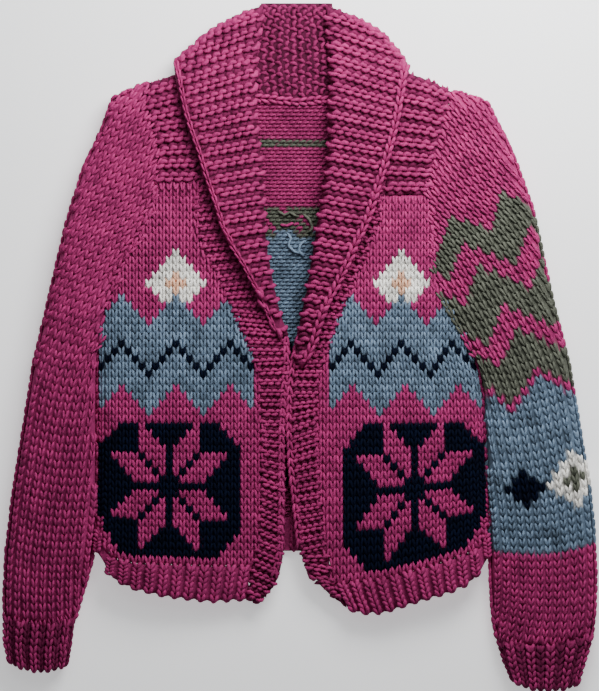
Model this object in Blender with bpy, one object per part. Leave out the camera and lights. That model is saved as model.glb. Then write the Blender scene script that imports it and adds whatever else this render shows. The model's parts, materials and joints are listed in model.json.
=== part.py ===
# Chunky hand knitted shawl collar cardigan, laid flat on its back with the collar towards +Y.
# Blender 4.5, metres, +Z up. The origin is the middle of the garment's box, at the surface under it.
# Sizes below are in millimetres on the laid garment. The wearer's right is -X and left is +X.
import bmesh
import bpy
import numpy as np

MM = 0.001

# Knit and lay
WALL = 6.5                # thickness of the bulky knit
SEAM = 0.5                # clearance between joined pieces, measured across the garment
MIDDLE_X = -8.0           # where the two front edges meet
FOLD_HEIGHT = 12.0        # height of the side and shoulder folds above the surface
FOLD_WIDTH = 18.0         # how far in from a fold the cloth takes to lie level
FRONT_TOP_MIDDLE = 16.0   # top of the front layer beside the opening
FRONT_TOP_SIDE = 24.0     # top of the front layer near the side folds
NECK_TOP = 20.8           # top of the front layer where the collar's fall lies under the shoulders
FALL_LEVEL = 7.0          # how far that fall lifts the back and shoulders
NECK_FOLD_LIFT = 1.9      # how far it lifts the shoulder fold
RIDGE = 1.5               # height of a garter ridge, a rib and the edge chain
GARTER_PITCH = 14.6       # one garter ridge to the next
LAY_CLEARANCE = 2.1       # from the front's plain top to the lapel that lies on it
ROLL_WIDTH = 7.0          # width of the turned roll at a folded edge
FOLD_SLIT = 0.8           # between the two layers of a folded collar
CURL_SHARE = 0.28         # most of a narrow tube's width that each of its folds may take
NECK_STACK_REACH = 113.0  # how far to each side of the middle the collar's fall lifts the shoulders

BAND_GAP = 0.9            # between a front and its band, whose seam bends
YOKE_GAP = 1.0            # between a yoke and its sleeve
RIB_SIDE_GAP = 3.2        # added over a hem rib at the side fold, where its top runs steeply
NECK_GAP = 2.0            # between the back and the collar's stand

# Armhole seams from the shoulder tip to the underarm
RIGHT_ARMHOLE = ((-158, 276), (-161, 251), (-154, 227), (-148, 207), (-151, 170), (-159, 133),
                 (-173, 109), (-186, 88), (-200, 49), (-213, 4))
LEFT_ARMHOLE = ((160, 267), (151, 227), (141, 191), (138, 159), (139, 128), (141, 94),
                (144, 70), (154, 47), (167, 24), (184, -6))

# Side folds from the underarm down to the hem
RIGHT_SIDE = ((-213, 4), (-212.6, -60), (-213, -150), (-214, -220))
LEFT_SIDE = ((184, -6), (189.5, -27), (193.5, -51), (195, -76), (196.5, -119), (198, -184), (199, -230))

# Shoulder folds from the shoulder tip to the neck point
RIGHT_SHOULDER = ((-158, 276), (-130, 286), (-77, 297))
LEFT_SHOULDER = ((160, 267), (132, 282), (77, 297))

# Seam between each front and its garter band, with the band's free or rolled edge, hem to neck
BAND_COLUMNS = ("seam_x", "seam_y", "edge_x", "edge_y")
RIGHT_BAND = ((-55, -264, -43, -269), (-50, -235, -24, -247), (-44, -203, -17, -215), (-41, -161, -16, -172),
              (-41, -77, -16, -77), (-43, -45, -13, -45), (-47, -20, -11.5, -18), (-56, 4, -10.5, 2),
              (-64.5, 21, -19, 17), (-72, 39, -29.5, 34), (-76, 49, -34, 52), (-86, 68, -39, 76),
              (-96, 88, -42, 95),
              (-105, 109, -45, 115), (-110, 133, -46, 140), (-111, 148, -47, 158), (-111, 166, -47, 180),
              (-104, 200, -51, 212), (-93, 245, -55, 246))
LEFT_BAND = ((50, -274.5, 28, -256), (36, -250, 12, -238), (28, -208, 1, -215), (23, -161, -4, -166),
             (19, -77, -9.5, -88), (19, -51, -8.5, -51), (23, -27, -6.5, -27), (28, -12, -3.5, -15),
             (33, 2, 6, 0), (41, 24, 10.5, 26), (50.5, 47, 14, 52), (60, 70, 19, 78), (71, 94, 23.5, 104),
             (85, 128, 28.5, 140), (90.5, 159, 33.5, 170), (89, 190, 38, 200), (86, 227, 39.5, 240))

# Lapels: free chained edge and roll edge, from the front opening to the diagonal fold at the neck side
LAPEL_COLUMNS = ("edge_x", "edge_y", "roll_x", "roll_y")
RIGHT_LAPEL = ((-22, 9, -11, 12), (-32, 33, -20, 36), (-47, 61, -28, 67), (-58, 83, -32, 90),
               (-71, 103, -35, 113), (-82, 124, -37, 136), (-91, 153, -38, 165), (-100, 179, -39, 192),
               (-107, 203, -43, 218), (-115, 225, -47, 250), (-121, 243, -46, 280), (-127, 269, -44, 316),
               (-131, 295, -37, 359))
LEFT_LAPEL = ((5, -22, -5, -17), (12, -3, -3, 2), (22, 24, 1, 28), (32, 48, 6, 53), (44, 74, 11, 80),
              (56, 97, 15, 106), (68, 123, 19, 133), (76, 143, 23, 154), (85, 171, 27, 181),
              (92, 193, 30, 204), (98, 214, 31, 226), (104, 238, 31, 253), (108, 263, 33, 286),
              (113, 293, 27, 358))

DIAGONAL_BOW = {"right": 7.0, "left": 11.0}   # how far the diagonal end bulges from a straight line
BOW_START = 0.7           # share of a lapel's length from which it bulges to that
LAPEL_FLAT_SHARES = (0.0, 0.12, 0.42, 0.72, 1.0)   # columns across a lapel's flat part
ROLL_ANGLES = (60.0, 30.0, 0.0)                    # columns round its roll
LAPEL_TIP_LENGTH = 55.0   # the lower tip thickens over this length
LAPEL_TIP_SHARE = 0.45    # share of the wall's thickness at the very tip
EDGE_LIFT = 3.0           # how far the free edge stands off the front
ROLL_START = 12.0         # the roll begins to turn under this far up from the tip
ROLL_TAKE = 30.0          # length over which it gets to its full depth
NECK_FOLD_START = 0.78    # share of the length from which the lapel goes back over the shoulder
NECK_FOLD_TAKE = 0.12     # share of the length this takes
STAND_SHARE = 0.45        # share across the diagonal end from which it lies on the collar's stand
STAND_SHARE_TAKE = 0.2    # share across over which it steps up on to it
END_RIDGE_SHARE = 0.3     # height of the last ridge, on the diagonal fold

# Tops of the hem ribs and the hems of the two fronts, from the side to the band
RIGHT_RIB_TOP = ((-214, -178), (-211.3, -191), (-204.7, -210), (-195.7, -221), (-174, -227), (-140, -228),
                 (-94, -230), (-40, -230))
RIGHT_HEM = ((-214, -209), (-205, -227), (-196, -243), (-174, -253), (-142, -261), (-94, -267), (-40, -264))
LEFT_RIB_TOP = ((199, -182), (196.3, -195), (189.7, -208), (180.7, -215), (138, -230), (89, -243), (30, -250))
LEFT_HEM = ((200, -212), (191, -233), (177, -248), (157, -257), (120, -268), (87, -279), (65, -279),
            (35, -270))
BACK_COLUMNS_X = (-118, -97, -77, -67, -52, -26, 0, 26, 51, 66, 77, 104, 122)   # columns at the shoulders
BACK_RIB_TOP = -178.0
BACK_HEM = -214.0
BOTTOM_LEVEL = -230.0     # middle height of the fronts' rib tops
STRAIGHT_LEVEL = -60.0    # above this height the fronts' rows run straight across

# Back neck seam, and the collar behind the neck
NECK_SEAM = ((-77, 297), (-67, 271), (-52, 258), (0, 253), (51, 258), (66, 271), (77, 297))
FALL_EDGE = ((-131, 293), (-115, 292), (-104, 290), (-94, 283), (-68, 268), (-44, 261), (0, 258), (40, 261),
             (62, 268), (82, 283), (92, 291), (113, 292))
DIAGONAL_COLUMNS = ("y", "right_x", "left_x")
DIAGONAL = ((291, -129, 112), (305, -119, 106), (319, -105, 94), (332, -84, 79), (342, -69, 66),
            (353, -54, 50), (360, -48, 44))
STAND_COLUMNS = ("y", "right_x", "left_x")
STAND = ((353, -40, 34), (335, -51, 46), (300, -58, 54), (262, -50, 48))
COLLAR_TOP = 360.0

# Sleeves and cuffs: outer and inner edge of each section, height of the edge fold, rise above it,
# share of the cap's bow, and how far the section's middle hangs below its edges
SLEEVE_COLUMNS = ("outer_x", "outer_y", "inner_x", "inner_y", "fold", "rise", "bow", "dip")
RIGHT_SLEEVE = ((-158, 276, -213, 4, 12.0, 12.0, 1.00, 0.0), (-194, 260, -215, -10, 12.5, 13.5, 0.80, 0.0),
                (-206, 227, -215, -29, 13.0, 15.0, 0.55, 0.0),
                (-226, 183, -215, -54, 13.5, 16.5, 0.30, 0.0),
                (-244, 123, -215, -86, 14.0, 17.5, 0.12, 0.0),
                (-260, 53, -215, -124, 14.0, 18.0, 0.00, 0.0),
                (-277, -19, -215, -162, 13.5, 17.0, 0.00, 0.5),
                (-286, -77, -216, -194, 13.0, 16.0, 0.00, 1.5),
                (-298, -151, -220, -224, 12.5, 14.5, 0.00, 3.0),
                (-306, -217, -226, -247, 12.0, 13.0, 0.00, 5.0),
                (-308, -252, -232, -267, 11.5, 12.0, 0.00, 6.5),
                (-308, -283, -237, -284, 11.0, 11.0, 0.00, 7.5))
LEFT_SLEEVE = ((160, 267, 184, -6, 12.0, 12.0, 1.00, 0.0), (195, 256, 192, -27, 12.5, 13.5, 0.80, 0.0),
               (211, 225, 196, -51, 13.0, 15.0, 0.55, 0.0), (225, 193, 197.5, -76, 13.5, 16.5, 0.30, 0.0),
               (243, 143, 198.5, -109, 14.0, 18.0, 0.12, 0.0),
               (261, 58, 199.5, -138, 14.5, 19.0, 0.00, 0.0), (281, -20, 201, -166, 14.5, 18.5, 0.00, 0.0),
               (292, -88, 202, -193, 14.0, 17.5, 0.00, 0.5), (302, -146, 202, -218, 13.5, 16.0, 0.00, 1.5),
               (307, -196, 202.5, -243, 12.5, 14.5, 0.00, 3.0),
               (309, -243, 204, -268, 12.0, 13.0, 0.00, 5.0), (308, -278, 206, -291, 11.5, 12.0, 0.00, 6.5),
               (305, -302, 209, -308, 11.0, 11.0, 0.00, 7.5))
RIGHT_CUFF = ((-308, -284, -237, -285, 11.0, 11.0, 0.00, 7.5),
              (-308, -310, -241, -317, 10.5, 10.5, 0.00, 8.0),
              (-304, -329, -244, -333, 10.0, 10.0, 0.00, 8.5))
LEFT_CUFF = ((305, -303, 209, -309, 11.0, 11.0, 0.00, 7.5), (299, -326, 215, -329, 10.5, 10.5, 0.00, 8.0),
             (291, -352, 223, -349, 10.0, 10.0, 0.00, 9.0))

# Counts of what repeats
LAPEL_RIDGES = 18
YOKE_RIDGES = 7
STAND_RIDGES = 10
FRONT_RIBS = 12
CUFF_RIBS = 10

# Plan distances from a fold at which the curl is sampled, with the cloth's length round the curl to each
CURL_PLAN = np.array((0.0, 2.4, 9.0, 18.0))
CURL_CLOTH = np.array((0.0, 6.5, 14.0, 23.5))

# Yarn colours, linear RGB
RASPBERRY = (0.34, 0.026, 0.115)
DEEP_RASPBERRY = (0.29, 0.022, 0.098)


def columns(names, rows):
    """A table's columns by name."""
    return {name: np.array([row[place] for row in rows], float) for place, name in enumerate(names)}


def ease(share):
    share = np.clip(share, 0.0, 1.0)
    return share * share * (3.0 - 2.0 * share)


def mix(low, high, share):
    return low + (high - low) * share


def follow(keys, values, at):
    """A smooth curve through a table's values, read where asked."""
    keys, values, at = np.asarray(keys, float), np.asarray(values, float), np.asarray(at, float)
    slopes = np.gradient(values, keys)
    place = np.clip(np.searchsorted(keys, at, side="right") - 1, 0, len(keys) - 2)
    span = keys[place + 1] - keys[place]
    t = (at - keys[place]) / span
    start, end = values[place], values[place + 1]
    return (start * (1 + 2 * t) * (1 - t) ** 2 + slopes[place] * span * t * (1 - t) ** 2
            + end * t * t * (3 - 2 * t) - slopes[place + 1] * span * t * t * (1 - t))


def read_line(points, at):
    """Height of a line given by points, at the places asked across it."""
    ordered = np.array(sorted(points), float)
    return np.interp(at, ordered[:, 0], ordered[:, 1])


def path_lengths(points):
    steps = np.hypot(*np.diff(np.asarray(points, float), axis=0).T)
    return np.concatenate(([0.0], np.cumsum(steps)))


def along(points, distances):
    """Points at given distances along a line of straight pieces."""
    points = np.asarray(points, float)
    lengths = path_lengths(points)
    return np.interp(distances, lengths, points[:, 0]), np.interp(distances, lengths, points[:, 1])


def distance_to(lines, x, y):
    """Distance in plan to the nearest of some lines of straight pieces."""
    nearest = np.full(np.shape(x), 1e9)
    for line in lines:
        points = np.asarray(line, float)
        for start, end in zip(points[:-1], points[1:]):
            run = end - start
            share = np.clip(((x - start[0]) * run[0] + (y - start[1]) * run[1]) / run.dot(run), 0, 1)
            gap = np.hypot(x - start[0] - share * run[0], y - start[1] - share * run[1])
            nearest = np.minimum(nearest, gap)
    return nearest


def curl(distance, width=FOLD_WIDTH):
    """Share of full height that the cloth has at a distance in from a fold."""
    return np.sqrt(1.0 - (1.0 - np.clip(distance / width, 0, 1)) ** 2)


def wave(distance, pitch):
    """Height of a row of ridges, from 0 to RIDGE."""
    return RIDGE * 0.5 * (1 - np.cos(2 * np.pi * distance / pitch))


def neck_stack(x, y):
    """1 where the collar's fall lies under the shoulders, 0 away from it."""
    return (1 - ease((np.abs(x - MIDDLE_X) - NECK_STACK_REACH) / 20)) * ease((y - 206) / 40)


def front_top(x, y):
    """Plain top of the front layer, away from the folds."""
    level = mix(FRONT_TOP_MIDDLE, FRONT_TOP_SIDE, ease((np.abs(x - MIDDLE_X) - 40) / 110))
    return level + np.maximum(0.0, NECK_TOP - level) * neck_stack(x, y)


def fold_height(x, y):
    return FOLD_HEIGHT + NECK_FOLD_LIFT * neck_stack(x, y)


FRONT_FOLDS = (RIGHT_SIDE, RIGHT_SHOULDER, LEFT_SIDE, LEFT_SHOULDER)
BACK_FOLDS = (RIGHT_SIDE, RIGHT_SHOULDER[:2], LEFT_SIDE, LEFT_SHOULDER[:2])


def front_surface(x, y):
    """Height of the front layer's outer face."""
    fold = fold_height(x, y)
    return fold + (front_top(x, y) - fold) * curl(distance_to(FRONT_FOLDS, x, y))


def back_surface(x, y):
    """Height of the back layer's outer face, which rests on the surface."""
    level = FALL_LEVEL * neck_stack(x, y)
    fold = fold_height(x, y)
    return fold - (fold - level) * curl(distance_to(BACK_FOLDS, x, y))


def normals(grid):
    """Unit normals of a grid of points, rows by columns."""
    normal = np.cross(np.gradient(grid, axis=1), np.gradient(grid, axis=0))
    return normal / np.linalg.norm(normal, axis=2, keepdims=True)


def wall(name, outer, inner, colour, closed=False):
    """A wall of cloth between two grids of points, closed round its borders."""
    rows, cols = outer.shape[:2]
    points = np.concatenate((outer.reshape(-1, 3), inner.reshape(-1, 3))) * MM
    count = rows * cols
    span = cols if closed else cols - 1
    faces = []
    for row in range(rows - 1):
        for col in range(span):
            near, far = row * cols + col, row * cols + (col + 1) % cols
            faces.append((near, far, far + cols, near + cols))
            faces.append((near + count, near + cols + count, far + cols + count, far + count))
    for col in range(span):
        near, far = col, (col + 1) % cols
        faces.append((far, near, near + count, far + count))
        near, far = near + (rows - 1) * cols, far + (rows - 1) * cols
        faces.append((near, far, far + count, near + count))
    if not closed:
        for row in range(rows - 1):
            top, low = row * cols, (row + 1) * cols
            faces.append((top, low, low + count, top + count))
            top, low = top + cols - 1, low + cols - 1
            faces.append((low, top, top + count, low + count))
    mesh = bpy.data.meshes.new(name)
    mesh.from_pydata(points.tolist(), [], faces)
    shape = bmesh.new()
    shape.from_mesh(mesh)
    bmesh.ops.recalc_face_normals(shape, faces=shape.faces)
    if shape.calc_volume(signed=True) < 0:
        bmesh.ops.reverse_faces(shape, faces=shape.faces)
    shape.to_mesh(mesh)
    shape.free()
    mesh.materials.append(yarn(colour))
    mesh.shade_smooth()
    mesh.set_sharp_from_angle(angle=0.9)
    piece = bpy.data.objects.new(name, mesh)
    bpy.context.scene.collection.objects.link(piece)
    return piece


def yarn(colour):
    name = "yarn_%02d" % round(colour[0] * 100)
    material = bpy.data.materials.get(name)
    if material is None:
        material = bpy.data.materials.new(name)
        material.use_nodes = True
        shader = material.node_tree.nodes["Principled BSDF"]
        shader.inputs["Base Color"].default_value = (*colour, 1.0)
        shader.inputs["Roughness"].default_value = 0.9
        shader.inputs["Metallic"].default_value = 0.0
    return material


def plan_distance(cloth):
    """Distance in from a fold, in plan, for a length of cloth round its curl."""
    return np.where(cloth < CURL_CLOTH[-1], np.interp(cloth, CURL_CLOTH, CURL_PLAN),
                    cloth - CURL_CLOTH[-1] + CURL_PLAN[-1])


def stack(x, y, z):
    return np.stack(np.broadcast_arrays(x, y, z), axis=-1).astype(float)


def front_layer(name, x, y, relief, colour):
    """A piece of the front layer over a plan grid, with its relief on the outer points."""
    plain = stack(x, y, front_surface(x, y) + SEAM / 4)
    lean = normals(plain)
    lean *= np.sign(lean[..., 2:3] + 1e-9)
    inner = plain - lean * WALL
    near_fold = distance_to(FRONT_FOLDS, x, y) < FOLD_WIDTH
    floor = fold_height(x, y) + SEAM / 2
    inner[..., 2] = np.where(near_fold, np.maximum(inner[..., 2], floor), inner[..., 2])
    plain[..., 2] = np.where(near_fold, np.maximum(plain[..., 2], floor), plain[..., 2])
    return wall(name, plain + lean * relief[..., None], inner, colour)


def back_layer(name, x, y, colour):
    """A piece of the back layer over a plan grid, its outer face down."""
    outer = stack(x, y, back_surface(x, y))
    lean = normals(outer)
    lean *= -np.sign(lean[..., 2:3] + 1e-9)
    inner = outer - lean * WALL
    near_fold = distance_to(BACK_FOLDS, x, y) < FOLD_WIDTH
    ceiling = fold_height(x, y) - SEAM / 2
    inner[..., 2] = np.where(near_fold, np.minimum(inner[..., 2], ceiling), inner[..., 2])
    outer[..., 2] = np.where(near_fold, np.minimum(outer[..., 2], ceiling), outer[..., 2])
    return wall(name, outer, inner, colour)


def side_x(armhole, side, y):
    """The body's outer edge: the side fold below the underarm and the armhole seam above it."""
    return read_line([(point[1], point[0]) for point in armhole + side[1:]], y)


def seam_line(table, y):
    """Place across of the seam between a front and its band."""
    return read_line(list(zip(table["seam_y"], table["seam_x"])), y)


def rib_gap(inward):
    """Clearance up the garment over a hem rib, at a distance in from the side fold."""
    return SEAM + RIB_SIDE_GAP * (1 - np.clip(inward / 30.0, 0, 1))


def middle_line(table, one, other):
    """Points halfway between two lines of a table."""
    return np.stack([(table[one + axis] + table[other + axis]) / 2 for axis in ("_x", "_y")], axis=1)


def make_front(name, armhole, side, band, rib_top, sign):
    """The plain knit front, from the rib's top to the yoke."""
    seam = columns(BAND_COLUMNS, band)
    top = armhole[4][1] if sign < 0 else armhole[3][1]
    underarm = armhole[-1][1]
    levels = [point[1] for point in armhole if underarm + FOLD_WIDTH < point[1] < top]
    levels += [top - SEAM / 2] + [underarm + step for step in CURL_PLAN]
    levels += [level for level in seam["seam_y"] if BOTTOM_LEVEL < level < underarm - 4]
    levels = np.array(sorted(levels + [-110.0, -135.0, -185.0, BOTTOM_LEVEL]))
    outer_x = side_x(armhole, side, levels) - sign * SEAM / 2
    sink = np.clip((STRAIGHT_LEVEL - levels) / (STRAIGHT_LEVEL - BOTTOM_LEVEL), 0, 1)[:, None] ** 1.5
    inner_y = levels
    for _ in range(3):
        inner_x = seam_line(seam, inner_y) + sign * BAND_GAP
        inner_y = levels + sink[:, 0] * (read_line(rib_top, inner_x) + SEAM / 2 - BOTTOM_LEVEL)
    width = np.abs(inner_x - outer_x)
    rest = (width - CURL_PLAN[-1])[:, None] * np.linspace(0.2, 1.0, 5)[None, :] + CURL_PLAN[-1]
    inward = np.concatenate((np.repeat(CURL_PLAN[None, :], len(levels), axis=0), rest), axis=1)
    x = outer_x[:, None] - sign * inward
    y = levels[:, None] + sink * (read_line(rib_top, x) + rib_gap(inward) - BOTTOM_LEVEL)
    return front_layer(name, x, y, np.zeros_like(x), RASPBERRY)


def make_front_rib(name, side, band, rib_top, hem, sign):
    """The knit rib under a front, its ribs running down to the hem."""
    seam = columns(BAND_COLUMNS, band)
    shares = np.linspace(0, 1, 3)
    count = 2 * FRONT_RIBS
    x_rows, y_rows = [], []
    for share in shares:
        outer_y = mix(rib_top[0][1], hem[0][1], share)
        outer_x = read_line([point[::-1] for point in side], outer_y) - sign * SEAM / 2
        inner_y = mix(BOTTOM_LEVEL, hem[-2][1], share)
        for _ in range(3):
            inner_x = seam_line(seam, inner_y) + sign * BAND_GAP
            inner_y = mix(read_line(rib_top, inner_x), read_line(hem, inner_x), share)
        width = abs(inner_x - outer_x) + CURL_CLOTH[-1] - CURL_PLAN[-1]
        x = outer_x - sign * plan_distance(np.linspace(0, width, count + 1))
        x_rows.append(x)
        y_rows.append(mix(read_line(rib_top, x) - rib_gap(np.abs(x - outer_x)), read_line(hem, x), share))
    x, y = np.array(x_rows), np.array(y_rows)
    relief = np.where(np.arange(count + 1) % 2 == 1, RIDGE, 0.0)[None, :] * np.ones_like(x)
    return front_layer(name, x, y, relief, DEEP_RASPBERRY)


def make_yoke(name, armhole, shoulder, band, sign):
    """The garter stitch shoulder part of a front."""
    seam = columns(BAND_COLUMNS, band)
    lengths = path_lengths(armhole)
    bottom_place = 4 if sign < 0 else 3
    bottom_length, bottom = lengths[bottom_place], armhole[bottom_place][1]
    ridge_rows = np.linspace(bottom_length - SEAM / 2, 24.0, 2 * YOKE_RIDGES)
    travel = np.concatenate((ridge_rows, CURL_PLAN[2::-1]))
    outer_x, outer_y = along(armhole, travel)
    outer_x = outer_x - sign * YOKE_GAP
    neck_y = shoulder[-1][1]
    share = (outer_y - bottom) / (shoulder[0][1] - bottom)
    inner_y = mix(bottom, neck_y, share)
    line = list(zip(seam["seam_y"], seam["seam_x"])) + [(neck_y, shoulder[-1][0] + sign * 2)]
    inner_x = read_line(line, inner_y) + sign * BAND_GAP
    across = np.linspace(0, 1, 5)[None, :]
    x = mix(outer_x[:, None], inner_x[:, None], across)
    straight = mix(outer_y[:, None], inner_y[:, None], across)
    top_line = read_line(shoulder, x[-1])
    y = bottom + SEAM / 4 + (straight - bottom) * ((top_line - bottom) / (straight[-1] - bottom))[None, :]
    relief = np.where(np.arange(len(travel)) % 2 == 1, RIDGE, 0.0)[:, None] * np.ones_like(x)
    relief[len(ridge_rows):] *= 0.5
    return front_layer(name, x, y, relief, RASPBERRY)


def make_band(name, band):
    """A garter stitch front band, which goes on up under the lapel as the collar's stand."""
    table = columns(BAND_COLUMNS, band)
    travel = path_lengths(middle_line(table, "seam", "edge"))
    rows = int(round(travel[-1] / (GARTER_PITCH / 2)))
    places = np.linspace(0, travel[-1], rows + 1)
    across = np.linspace(0, 1, 4)[None, :]
    ends = {key: np.interp(places, travel, values)[:, None] for key, values in table.items()}
    x = mix(ends["seam_x"], ends["edge_x"], across)
    y = mix(ends["seam_y"], ends["edge_y"], across)
    relief = wave(places, 2 * travel[-1] / rows)[:, None] * np.ones_like(x)
    top = front_top(x, y)
    return wall(name, stack(x, y, top + relief), stack(x, y, top - WALL), DEEP_RASPBERRY)


def shoulder_line(x):
    """Height up the garment of the shoulder folds, and of the neck points between them."""
    return read_line(RIGHT_SHOULDER + LEFT_SHOULDER, x)


def make_lapel(name, lapel, bow, sign):
    """The part of the collar that lies folded out over a front, with its roll and its diagonal end."""
    table = columns(LAPEL_COLUMNS, lapel)
    travel = path_lengths(middle_line(table, "edge", "roll"))
    end_rows = np.radians(ROLL_ANGLES)
    rows = 2 * LAPEL_RIDGES
    places = np.concatenate((np.linspace(0, travel[-1] - ROLL_WIDTH, rows + 1), np.repeat(travel[-1], 3)))
    ends = {key: follow(travel, values, places) for key, values in table.items()}
    inset = travel[-1] - ROLL_WIDTH
    for step, angle in enumerate(end_rows):
        place = inset + ROLL_WIDTH * np.cos(angle)
        for key, values in table.items():
            ends[key][rows + 1 + step] = follow(travel, values, place)
    end_share = np.concatenate((np.ones(rows + 1), np.sin(end_rows)))[:, None]
    ends["place"] = np.concatenate((places[:rows + 1], inset + ROLL_WIDTH * np.cos(end_rows)))
    end_inner = np.concatenate((places[:rows + 1], inset + SEAM * np.cos(end_rows)))

    flat = np.array(LAPEL_FLAT_SHARES)
    turn = np.radians(ROLL_ANGLES)
    near_neck = ease((places / travel[-1] - NECK_FOLD_START) / NECK_FOLD_TAKE)[:, None]
    thick = mix(LAPEL_TIP_SHARE, 1.0, ease(places / LAPEL_TIP_LENGTH))[:, None] * WALL

    def layer(stations, above, reach):
        width = np.hypot(stations["roll_x"] - stations["edge_x"],
                         stations["roll_y"] - stations["edge_y"])[:, None]
        flat_share = flat[None, :] * (width - ROLL_WIDTH) / width
        turn_share = (width - ROLL_WIDTH + reach * np.cos(turn)[None, :]) / width
        share = np.concatenate((flat_share, turn_share), axis=1)
        x = mix(stations["edge_x"][:, None], stations["roll_x"][:, None], share)
        y = mix(stations["edge_y"][:, None], stations["roll_y"][:, None], share)
        level = curl(shoulder_line(x) - y)
        over_collar = 2 * WALL + FOLD_SLIT + RIDGE + SEAM
        bed = over_collar + (front_top(x, y) + LAY_CLEARANCE - over_collar) * level
        lifted = EDGE_LIFT * (1 - np.clip(2 * share, 0, 1)) ** 2 * (1 - near_neck)
        lifted *= ease(places / LAPEL_TIP_LENGTH)[:, None]
        toward_end = ease((stations["place"] / travel[-1] - BOW_START) / (1 - BOW_START))
        bulge = bow * toward_end[:, None] * 4 * share * (1 - share)
        run = np.array((lapel[-1][2] - lapel[-1][0], lapel[-1][3] - lapel[-1][1]), float)
        run /= np.linalg.norm(run)
        x = x + sign * abs(run[1]) * bulge
        y = y + abs(run[0]) * bulge
        height = bed + lifted + above
        depth = ROLL_WIDTH * ease((stations["place"][:, None] - ROLL_START) / ROLL_TAKE)
        roll_end = mix(bed - depth, over_collar, near_neck)
        roll_end = np.where(level < 1, np.maximum(roll_end, over_collar), roll_end)
        height[:, len(flat):] = (mix(roll_end, height, np.concatenate(
            (np.ones(len(flat)), np.sin(turn)))[None, :]))[:, len(flat):]
        low_end = mix(WALL + FOLD_SLIT, over_collar, ease((share - STAND_SHARE) / STAND_SHARE_TAKE))
        return x, y, low_end + (height - low_end) * end_share

    outer_x, outer_y, outer_z = layer(ends, thick, ROLL_WIDTH)
    inner_ends = {key: follow(travel, values, end_inner) for key, values in table.items()}
    inner_ends["place"] = end_inner
    inner_x, inner_y, inner_z = layer(inner_ends, 0.0, SEAM)
    relief = np.where(np.arange(len(places)) % 2 == 1, RIDGE, 0.0)[:, None] * np.ones_like(outer_z)
    relief[:, 0:2] = RIDGE
    relief[rows + 1:] *= END_RIDGE_SHARE
    relief[:, -1] = 0
    outer_z = outer_z + relief * end_share
    return wall(name, stack(outer_x, outer_y, outer_z), stack(inner_x, inner_y, inner_z), RASPBERRY)


def make_collar_back():
    """The collar behind the neck: the stand, the roll at the top and the fall that lies under it."""
    diagonal, side = columns(DIAGONAL_COLUMNS, DIAGONAL), columns(STAND_COLUMNS, STAND)
    across = np.linspace(0, 1, 2 * STAND_RIDGES + 1)
    fold_y = COLLAR_TOP - ROLL_WIDTH
    layers = {"outer": [], "inner": []}
    stand_top = 2 * WALL + FOLD_SLIT
    for share in np.linspace(0, 1, 5):
        side_y = mix(diagonal["y"][0], fold_y, share)
        margin = mix(1.5, 14.0, share ** 2)
        x = mix(np.interp(side_y, diagonal["y"], diagonal["right_x"]) + margin,
                np.interp(side_y, diagonal["y"], diagonal["left_x"]) - margin, across)
        free_x = mix(diagonal["right_x"][0], diagonal["left_x"][0], across)
        free_y = read_line(FALL_EDGE, free_x)
        y = mix(free_y, fold_y, share)
        layers["outer"].append(stack(x, y, 0.0))
        layers["inner"].append(stack(x, y, WALL))
    x = mix(side["right_x"][0], side["left_x"][0], across)
    for angle in np.radians((-45.0, 0.0, 45.0)):
        reach, rise = np.cos(angle), np.sin(angle)
        layers["outer"].append(stack(x, fold_y + ROLL_WIDTH * reach, stand_top / 2 * (1 + rise)))
        layers["inner"].append(stack(x, fold_y + FOLD_SLIT / 2 * reach, WALL + FOLD_SLIT / 2 * (1 + rise)))
    ridges = np.where(np.arange(len(across)) % 2 == 1, RIDGE, 0.0)
    for share in np.linspace(0, 1, 6):
        side_y = mix(fold_y, side["y"][-1], share)
        x = mix(np.interp(-side_y, -side["y"], side["right_x"]),
                np.interp(-side_y, -side["y"], side["left_x"]), across)
        drop = read_line(NECK_SEAM, x) + NECK_GAP - side["y"][-1]
        y = side_y + drop * share
        layers["outer"].append(stack(x, y, stand_top + ridges))
        layers["inner"].append(stack(x, y, WALL + FOLD_SLIT))
    return wall("collar_back", np.array(layers["outer"]), np.array(layers["inner"]), RASPBERRY)


def armhole_rows(armhole):
    """Ends of the back's rows down an armhole, closer together at its two folds."""
    travel = path_lengths(armhole)
    keys = [length for length in travel if 20 < length < travel[-1] - 20]
    keys = list(CURL_PLAN[:3]) + keys + [travel[-1] - step for step in CURL_PLAN[::-1]]
    return along(armhole, keys)


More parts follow.
